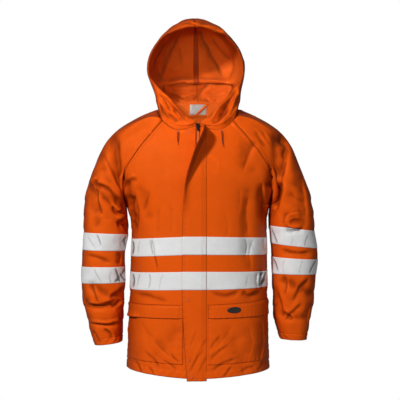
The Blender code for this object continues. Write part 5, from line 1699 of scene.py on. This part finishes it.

# %% [markdown]
# ### Coated cloth and its painted shade
# Coated cloth isn't one colour. It is a little uneven from the dye and darker along seams, and painted shade
# darkens the bottom of creases and its fine packing creases. Fine packing creases are too small for the mesh,
# so they are a height for the material's Bump: thin straight lines between the cells of a Voronoi pattern,
# which come and go and show most where the cloth is creased.

# %% Coated cloth group
coated, given, result = new_group(
    "coated cloth",
    [("Colour", "Color", (1, 1, 1, 1)), ("Dark", "Color", (0, 0, 0, 1)), ("Creasing", "Float", 1.0)],
    [("Colour", "Color"), ("Roughness", "Float"), ("Height", "Float")],
)
spot = object_place(coated)
cloudy = speckle(coated, spot, 14.0, 4.0, 0.6)
fine = speckle(coated, spot, 160.0, 3.0, 0.6)
bend = place_node(coated, "TexNoise", (), Vector=spot, Scale=9.0, Detail=2.0).outputs["Color"]
bend_by = {"operation": "MULTIPLY_ADD"}
moved = place_node(coated, "VectorMath", bend_by, i0=bend, i1=(0.03, 0.03, 0.03), i2=spot).outputs[0]


def folded_lines(stretch, scale, width):
    """Nearly straight thin lines that meet in corners, 1 on the line, as folded paper shows."""
    pulled = place_node(coated, "VectorMath", {"operation": "MULTIPLY"}, i0=moved, i1=stretch).outputs[0]
    cells = place_node(coated, "TexVoronoi", {"feature": "DISTANCE_TO_EDGE"}, Vector=pulled, Scale=scale)
    away = cells.outputs["Distance"]
    return maths(coated, "SUBTRACT", 1.0, maths(coated, "DIVIDE", away, width, clamp=True), clamp=True)


def patches(scale, low, high):
    """Where the lines show: they come and go along their way."""
    return remap(coated, speckle(coated, spot, scale, 2.0), low, high, 0.0, 1.0)


packing = maths(coated, "MULTIPLY", folded_lines((1.0, 1.0, 0.7), 15.0, 0.028), patches(7.0, 0.50, 0.66))
crumbs = maths(coated, "MULTIPLY", folded_lines((1.3, 1.0, 0.8), 44.0, 0.05), patches(11.0, 0.50, 0.66))
lines = maths(coated, "ADD", maths(coated, "MULTIPLY", packing, 0.5), maths(coated, "MULTIPLY", crumbs, 0.35))
worked = remap(coated, read(coated, "crease"), 0.0, 0.5, 0.25, 1.0)
lines = maths(coated, "MULTIPLY", maths(coated, "MULTIPLY", lines, worked), given.outputs["Creasing"])

sewn = read(coated, "sewn")
seam_shade = remap(coated, sewn, 0.0, 3.5, 0.45, 0.0)
# painted shade at the bottom of creases, read from the crease attribute
crease_shade = maths(coated, "MULTIPLY", read(coated, "crease"), 0.56)
# a tape's creases darkened: partly cracked beads, partly painted shade
crack_shade = maths(coated, "MULTIPLY", read(coated, "crack"), 0.85)
dyed, dusty = (remap(coated, field, 0.3, 0.7, 0.0, most) for field, most in ((cloudy, 0.10), (fine, 0.05)))
shade = maths(coated, "MAXIMUM", maths(coated, "MAXIMUM", seam_shade, crease_shade), crack_shade)
shade = maths(coated, "ADD", shade, maths(coated, "ADD", dyed, dusty))
# the packing lines also take a little painted shade
shade = maths(coated, "ADD", shade, maths(coated, "MULTIPLY", lines, 0.10), clamp=True)
colour = blended(coated, shade, given.outputs["Colour"], given.outputs["Dark"])
height = maths(coated, "SUBTRACT", maths(coated, "MULTIPLY", fine, 0.12), lines)
lead(coated, result, Colour=colour, Roughness=remap(coated, cloudy, 0.3, 0.7, 0.46, 0.62), Height=height)
print("groups", [made.name for made in bpy.data.node_groups])


# %% [markdown]
# ### Materials
# The shell is saturated fluorescent orange, with only a weak orange-tinted gloss from its coating. The
# lining side is the same cloth uncoated: duller and rougher.

# %% Cloth materials
def finish(name, **constants):
    """A material and its Principled shader, with constants on the shader's own sockets."""
    made = bpy.data.materials.new(name)
    made.use_nodes = True
    shader = made.node_tree.nodes["Principled BSDF"]
    for label, value in constants.items():
        shader.inputs[label.replace("_", " ")].default_value = value
    return made, made.node_tree, shader


def use_group(tree, group, **values):
    """Places a node group with values for its inputs."""
    node = tree.nodes.new("ShaderNodeGroup")
    node.node_tree = group
    for label, value in values.items():
        node.inputs[label].default_value = value
    return node


def bumped(tree, shader, *heights):
    """Bumps laid on each other: (height, distance in metres, strength)."""
    normal = None
    for height, distance, strength in heights:
        bump = place_node(tree, "Bump", (), Height=height, Distance=distance, Strength=strength)
        if normal is not None:
            lead(tree, bump, Normal=normal)
        normal = bump.outputs["Normal"]
    lead(tree, shader, Normal=normal)


def cloth_finish(name, colour, dark, creasing, side_shade, **constants):
    """Coated cloth. The argument after creasing is the share of dark colour painted on as shade where it is
    seen from the side.
    """
    made, tree, shader = finish(name, **constants)
    dyed_and_shaded = use_group(tree, coated, Colour=(*colour, 1), Dark=(*dark, 1), Creasing=creasing)
    woven = use_group(tree, weave, Pitch=0.00055)
    # painted shade: the dark colour grows where the cloth turns away from the camera
    facing = place_node(tree, "LayerWeight", (), Blend=0.5).outputs["Facing"]
    share = remap(tree, facing, 0.14, 0.9, 0.0, side_shade)
    colour = blended(tree, share, dyed_and_shaded.outputs["Colour"], (*dark, 1))
    lead(tree, shader, Base_Color=colour, Roughness=dyed_and_shaded.outputs["Roughness"])
    bumped(tree, shader, (dyed_and_shaded.outputs["Height"], 0.0012, 0.8), (woven.outputs["Height"], 0.00006, 0.5))
    return made


ORANGE, ORANGE_SHADE = (0.93, 0.112, 0.0045), (0.17, 0.018, 0.0015)
shell = cloth_finish(
    "shell cloth", ORANGE, ORANGE_SHADE, 1.0, 0.75,
    Specular_IOR_Level=0.22, Specular_Tint=(1.0, 0.42, 0.14, 1),
    Sheen_Weight=0.06, Sheen_Roughness=0.4, Sheen_Tint=(1.0, 0.35, 0.08, 1),
)
lining = cloth_finish(
    "shell lining", (0.84, 0.130, 0.012), (0.17, 0.022, 0.004), 0.6, 0.4,
    Specular_IOR_Level=0.12, Specular_Tint=(1.0, 0.5, 0.25, 1),
)
strip_cloth = cloth_finish(
    "zip strip cloth", (0.38, 0.040, 0.003), (0.12, 0.014, 0.002), 0.2, 0.0, Specular_IOR_Level=0.12,
)

# %% [markdown]
# ### Reflective tape
# Glass beads on a silver backing, embossed with a faint crossed pattern. It is paler along its stitched
# edges. Where it creases the bead layer cracks, and its creases are painted thin and dark: partly for the
# cracked beads, partly as painted shade.

# %% Tape material
reflective, tree, shader = finish("reflective beads", Specular_IOR_Level=0.35, Metallic=0.0)
woven = use_group(tree, weave, Pitch=0.0016)
dyed_and_shaded = use_group(tree, coated, Colour=(0.93, 0.935, 0.93, 1), Dark=(0.08, 0.08, 0.08, 1), Creasing=0.7)
rim = remap(tree, read(tree, "sewn"), 1.5, 4.5, 1.0, 0.0)
colour = blended(tree, rim, dyed_and_shaded.outputs["Colour"], (0.96, 0.97, 0.98, 1))
beads = place_node(tree, "TexVoronoi", (), Vector=object_place(tree), Scale=2600.0).outputs["Distance"]
lead(tree, shader, Base_Color=colour, Roughness=remap(tree, beads, 0.0, 1.0, 0.34, 0.52))
embossed = (woven.outputs["Height"], 0.0001, 0.6)
bumped(tree, shader, (dyed_and_shaded.outputs["Height"], 0.0012, 0.8), embossed, (beads, 0.00004, 0.4))

# %% [markdown]
# ### Small parts
# Black painted metal, a rubber badge, painted studs, orange moulded teeth, a woven label, a braided cord
# and sewing thread. A hard part is rubbed in places, which a patchy share of a second colour shows.

# %% Small part materials
def hard_finish(name, colour, rubbed, rough, **constants):
    """A hard part's colour and roughness, rubbed in places."""
    made, tree, shader = finish(name, **constants)
    spot = object_place(tree)
    share = remap(tree, speckle(tree, spot, 420.0, 6.0, 0.7), 0.52, 0.72, 0.0, 0.8)
    shade = blended(tree, share, (*colour, 1), (*rubbed, 1))
    lead(tree, shader, Base_Color=shade, Roughness=remap(tree, share, 0.0, 1.0, rough, rough + 0.2))
    bumped(tree, shader, (speckle(tree, spot, 1500.0, 3.0), 0.00005, 0.5))
    return made


BLACK, BLACK_RUBBED = (0.004, 0.004, 0.0045), (0.012, 0.0115, 0.011)
black = hard_finish("black enamel", BLACK, BLACK_RUBBED, 0.5, Specular_IOR_Level=0.2)
rubber = hard_finish("badge rubber", (0.014, 0.013, 0.013), (0.03, 0.028, 0.027), 0.55)
enamel = hard_finish("stud enamel", (0.80, 0.10, 0.006), (0.9, 0.2, 0.05), 0.35, Specular_IOR_Level=0.3)
moulded = hard_finish("moulded teeth", (0.90, 0.20, 0.04), (0.95, 0.34, 0.12), 0.35, Specular_IOR_Level=0.4)

label, tree, shader = finish("woven label", Specular_IOR_Level=0.3, Sheen_Weight=0.2)
woven = use_group(tree, weave, Pitch=0.0004)
soiled = remap(tree, speckle(tree, object_place(tree), 60.0, 4.0), 0.3, 0.8, 0.0, 0.5)
colour = blended(tree, soiled, (0.50, 0.49, 0.47, 1), (0.22, 0.19, 0.17, 1))
lead(tree, shader, Base_Color=colour, Roughness=remap(tree, woven.outputs["Height"], 0.0, 1.0, 0.75, 0.55))
bumped(tree, shader, (woven.outputs["Height"], 0.00003, 0.5))

braid, tree, shader = finish("cord braid", Specular_IOR_Level=0.2, Sheen_Weight=0.3)
spin = (0.0, math.radians(38), 0.0)
spun = place_node(tree, "Mapping", (), Vector=object_place(tree), Rotation=spin).outputs[0]
wave = place_node(tree, "TexWave", {"bands_direction": "Z"}, Vector=spun, Scale=260.0, Distortion=1.5)
bands = wave.outputs[1]
colour = blended(tree, bands, (0.07, 0.014, 0.004, 1), (0.40, 0.06, 0.010, 1))
lead(tree, shader, Base_Color=colour, Roughness=remap(tree, bands, 0.0, 1.0, 0.9, 0.65))
bumped(tree, shader, (bands, 0.0003, 0.9))


def thread_finish(name, low, high):
    """Twisted thread, from its darker to its lighter colour."""
    made, tree, shader = finish(name, Specular_IOR_Level=0.3)
    twist = speckle(tree, object_place(tree), 900.0, 2.0)
    colour = blended(tree, twist, (*low, 1), (*high, 1))
    lead(tree, shader, Base_Color=colour, Roughness=remap(tree, twist, 0.0, 1.0, 0.5, 0.8))
    bumped(tree, shader, (twist, 0.0001, 0.5))
    return made


thread = thread_finish("sewing thread", (0.52, 0.052, 0.003), (0.88, 0.12, 0.008))
pale_thread = thread_finish("pale thread", (0.40, 0.40, 0.40), (0.62, 0.62, 0.61))
print("materials", len(bpy.data.materials))

# %% [markdown]
# ## Dressing
# Every piece gets its finish by the start of its name. A shell piece takes a second material for the
# inner side of its wall, where Solidify's material offset finds it.

# %% Finish every piece
FINISHES = (
    ("shell_", shell, lining, "shell_fabric"),
    ("patch_", shell, lining, "shell_fabric"),
    ("hanging_loop", shell, lining, "shell_fabric"),
    # the hood's seam tape is dark partly as painted shade along the centre seam
    ("hood_tape", strip_cloth, strip_cloth, "zip_cloth"),
    ("band_", reflective, lining, "reflective_tape"),
    ("zip_strip", strip_cloth, strip_cloth, "zip_cloth"),
    ("zip_chain", moulded, None, "zip_cloth"),
    ("zip_slider", black, None, "dark_hardware"),
    ("zip_pull", black, None, "dark_hardware"),
    ("eyelet", enamel, None, "dark_hardware"),
    ("pocket_emblem", rubber, rubber, "dark_hardware"),
    ("stud_", enamel, None, "snap_metal"),
    ("neck_patch", label, label, "label_cloth"),
    ("cord_", braid, None, "cord"),
    ("knot_", braid, None, "cord"),
    ("stitches_tapes", pale_thread, None, "shell_fabric"),
    ("stitches", thread, None, "shell_fabric"),
)
bare = []
for piece in bpy.data.objects:
    if piece.type not in ("MESH", "CURVE") or piece.hide_render:
        continue
    chosen = [row for row in FINISHES if piece.name.startswith(row[0])]
    if not chosen:
        bare.append(piece.name)
        continue
    _, outer, inner, slot = chosen[0]
    piece.data.materials.clear()
    piece.data.materials.append(outer)
    wall = piece.modifiers.get("wall")
    if inner is not None and wall is not None:
        piece.data.materials.append(inner)
        wall.material_offset = 0 if wall.offset > 0 else 1
print("without a finish:", bare)


# %% [markdown]
# ## Light
# A small bright lamp to the upper left in front shapes the cloth, and a wide dim one from the right keeps
# the shaded folds readable. A narrow beam reaches the back of the hood. The background is white to the
# camera alone, so it doesn't wash the folds out.

# %% Lamps, world and floor
bpy.context.scene.view_settings.view_transform = "Standard"


def lamp(name, place, aim, size, power_watts, beam_degrees=180):
    """A square lamp that faces a point. Its beam can be narrowed, as a grid on a softbox does."""
    made = linked(name, bpy.data.lights.new(name, "AREA"))
    made.data.size = size
    made.data.energy = power_watts
    made.data.spread = math.radians(beam_degrees)
    made.location = place
    made.rotation_euler = (Vector(aim) - Vector(place)).to_track_quat("-Z", "Y").to_euler()


MIDDLE, HOOD_BACK = (0, 0, -0.25), (0.01, 0.05, 0.13)  # in metres, as the lamps' places are
FLOOR_HALF, FLOOR_HEIGHT = 0.55, -0.95  # below the hanging jacket
lamp("key", (-1.7, -2.8, 1.55), MIDDLE, 0.45, 103)
lamp("fill", (2.2, -3.0, 0.1), MIDDLE, 2.4, 15)
lamp("hood", (-0.4, -2.6, 0.1), HOOD_BACK, 0.25, 0.115, beam_degrees=11)

world = bpy.data.worlds.new("studio")
bpy.context.scene.world = world
world.use_nodes = True
sky = world.node_tree
ambient = sky.nodes["Background"]
ambient.inputs["Color"].default_value = (1, 1, 1, 1)
ambient.inputs["Strength"].default_value = 0.12
white = place_node(sky, "Background", (), Color=(1, 1, 1, 1), Strength=1.0)
seen = place_node(sky, "LightPath").outputs["Is Camera Ray"]
mixed = place_node(sky, "MixShader", (), Fac=seen, i1=ambient.outputs[0], i2=white.outputs[0])
lead(sky, sky.nodes["World Output"], Surface=mixed.outputs[0])

bm = bmesh.new()
bmesh.ops.create_grid(bm, x_segments=1, y_segments=1, size=FLOOR_HALF)
bmesh.ops.translate(bm, vec=(0, 0, FLOOR_HEIGHT), verts=bm.verts)
floor = linked("floor", mesh_of("floor", bm))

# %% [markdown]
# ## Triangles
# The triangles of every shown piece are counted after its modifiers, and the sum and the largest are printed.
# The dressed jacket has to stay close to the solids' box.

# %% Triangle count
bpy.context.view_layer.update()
graph = bpy.context.evaluated_depsgraph_get()
counts = {}
for piece in bpy.data.objects:
    if piece.type == "MESH" and not piece.hide_render:
        faces = piece.evaluated_get(graph).data.polygons
        counts[piece.name] = sum(len(face.vertices) - 2 for face in faces)
print("triangles", sum(counts.values()), "most", max(counts.items(), key=lambda item: item[1]))
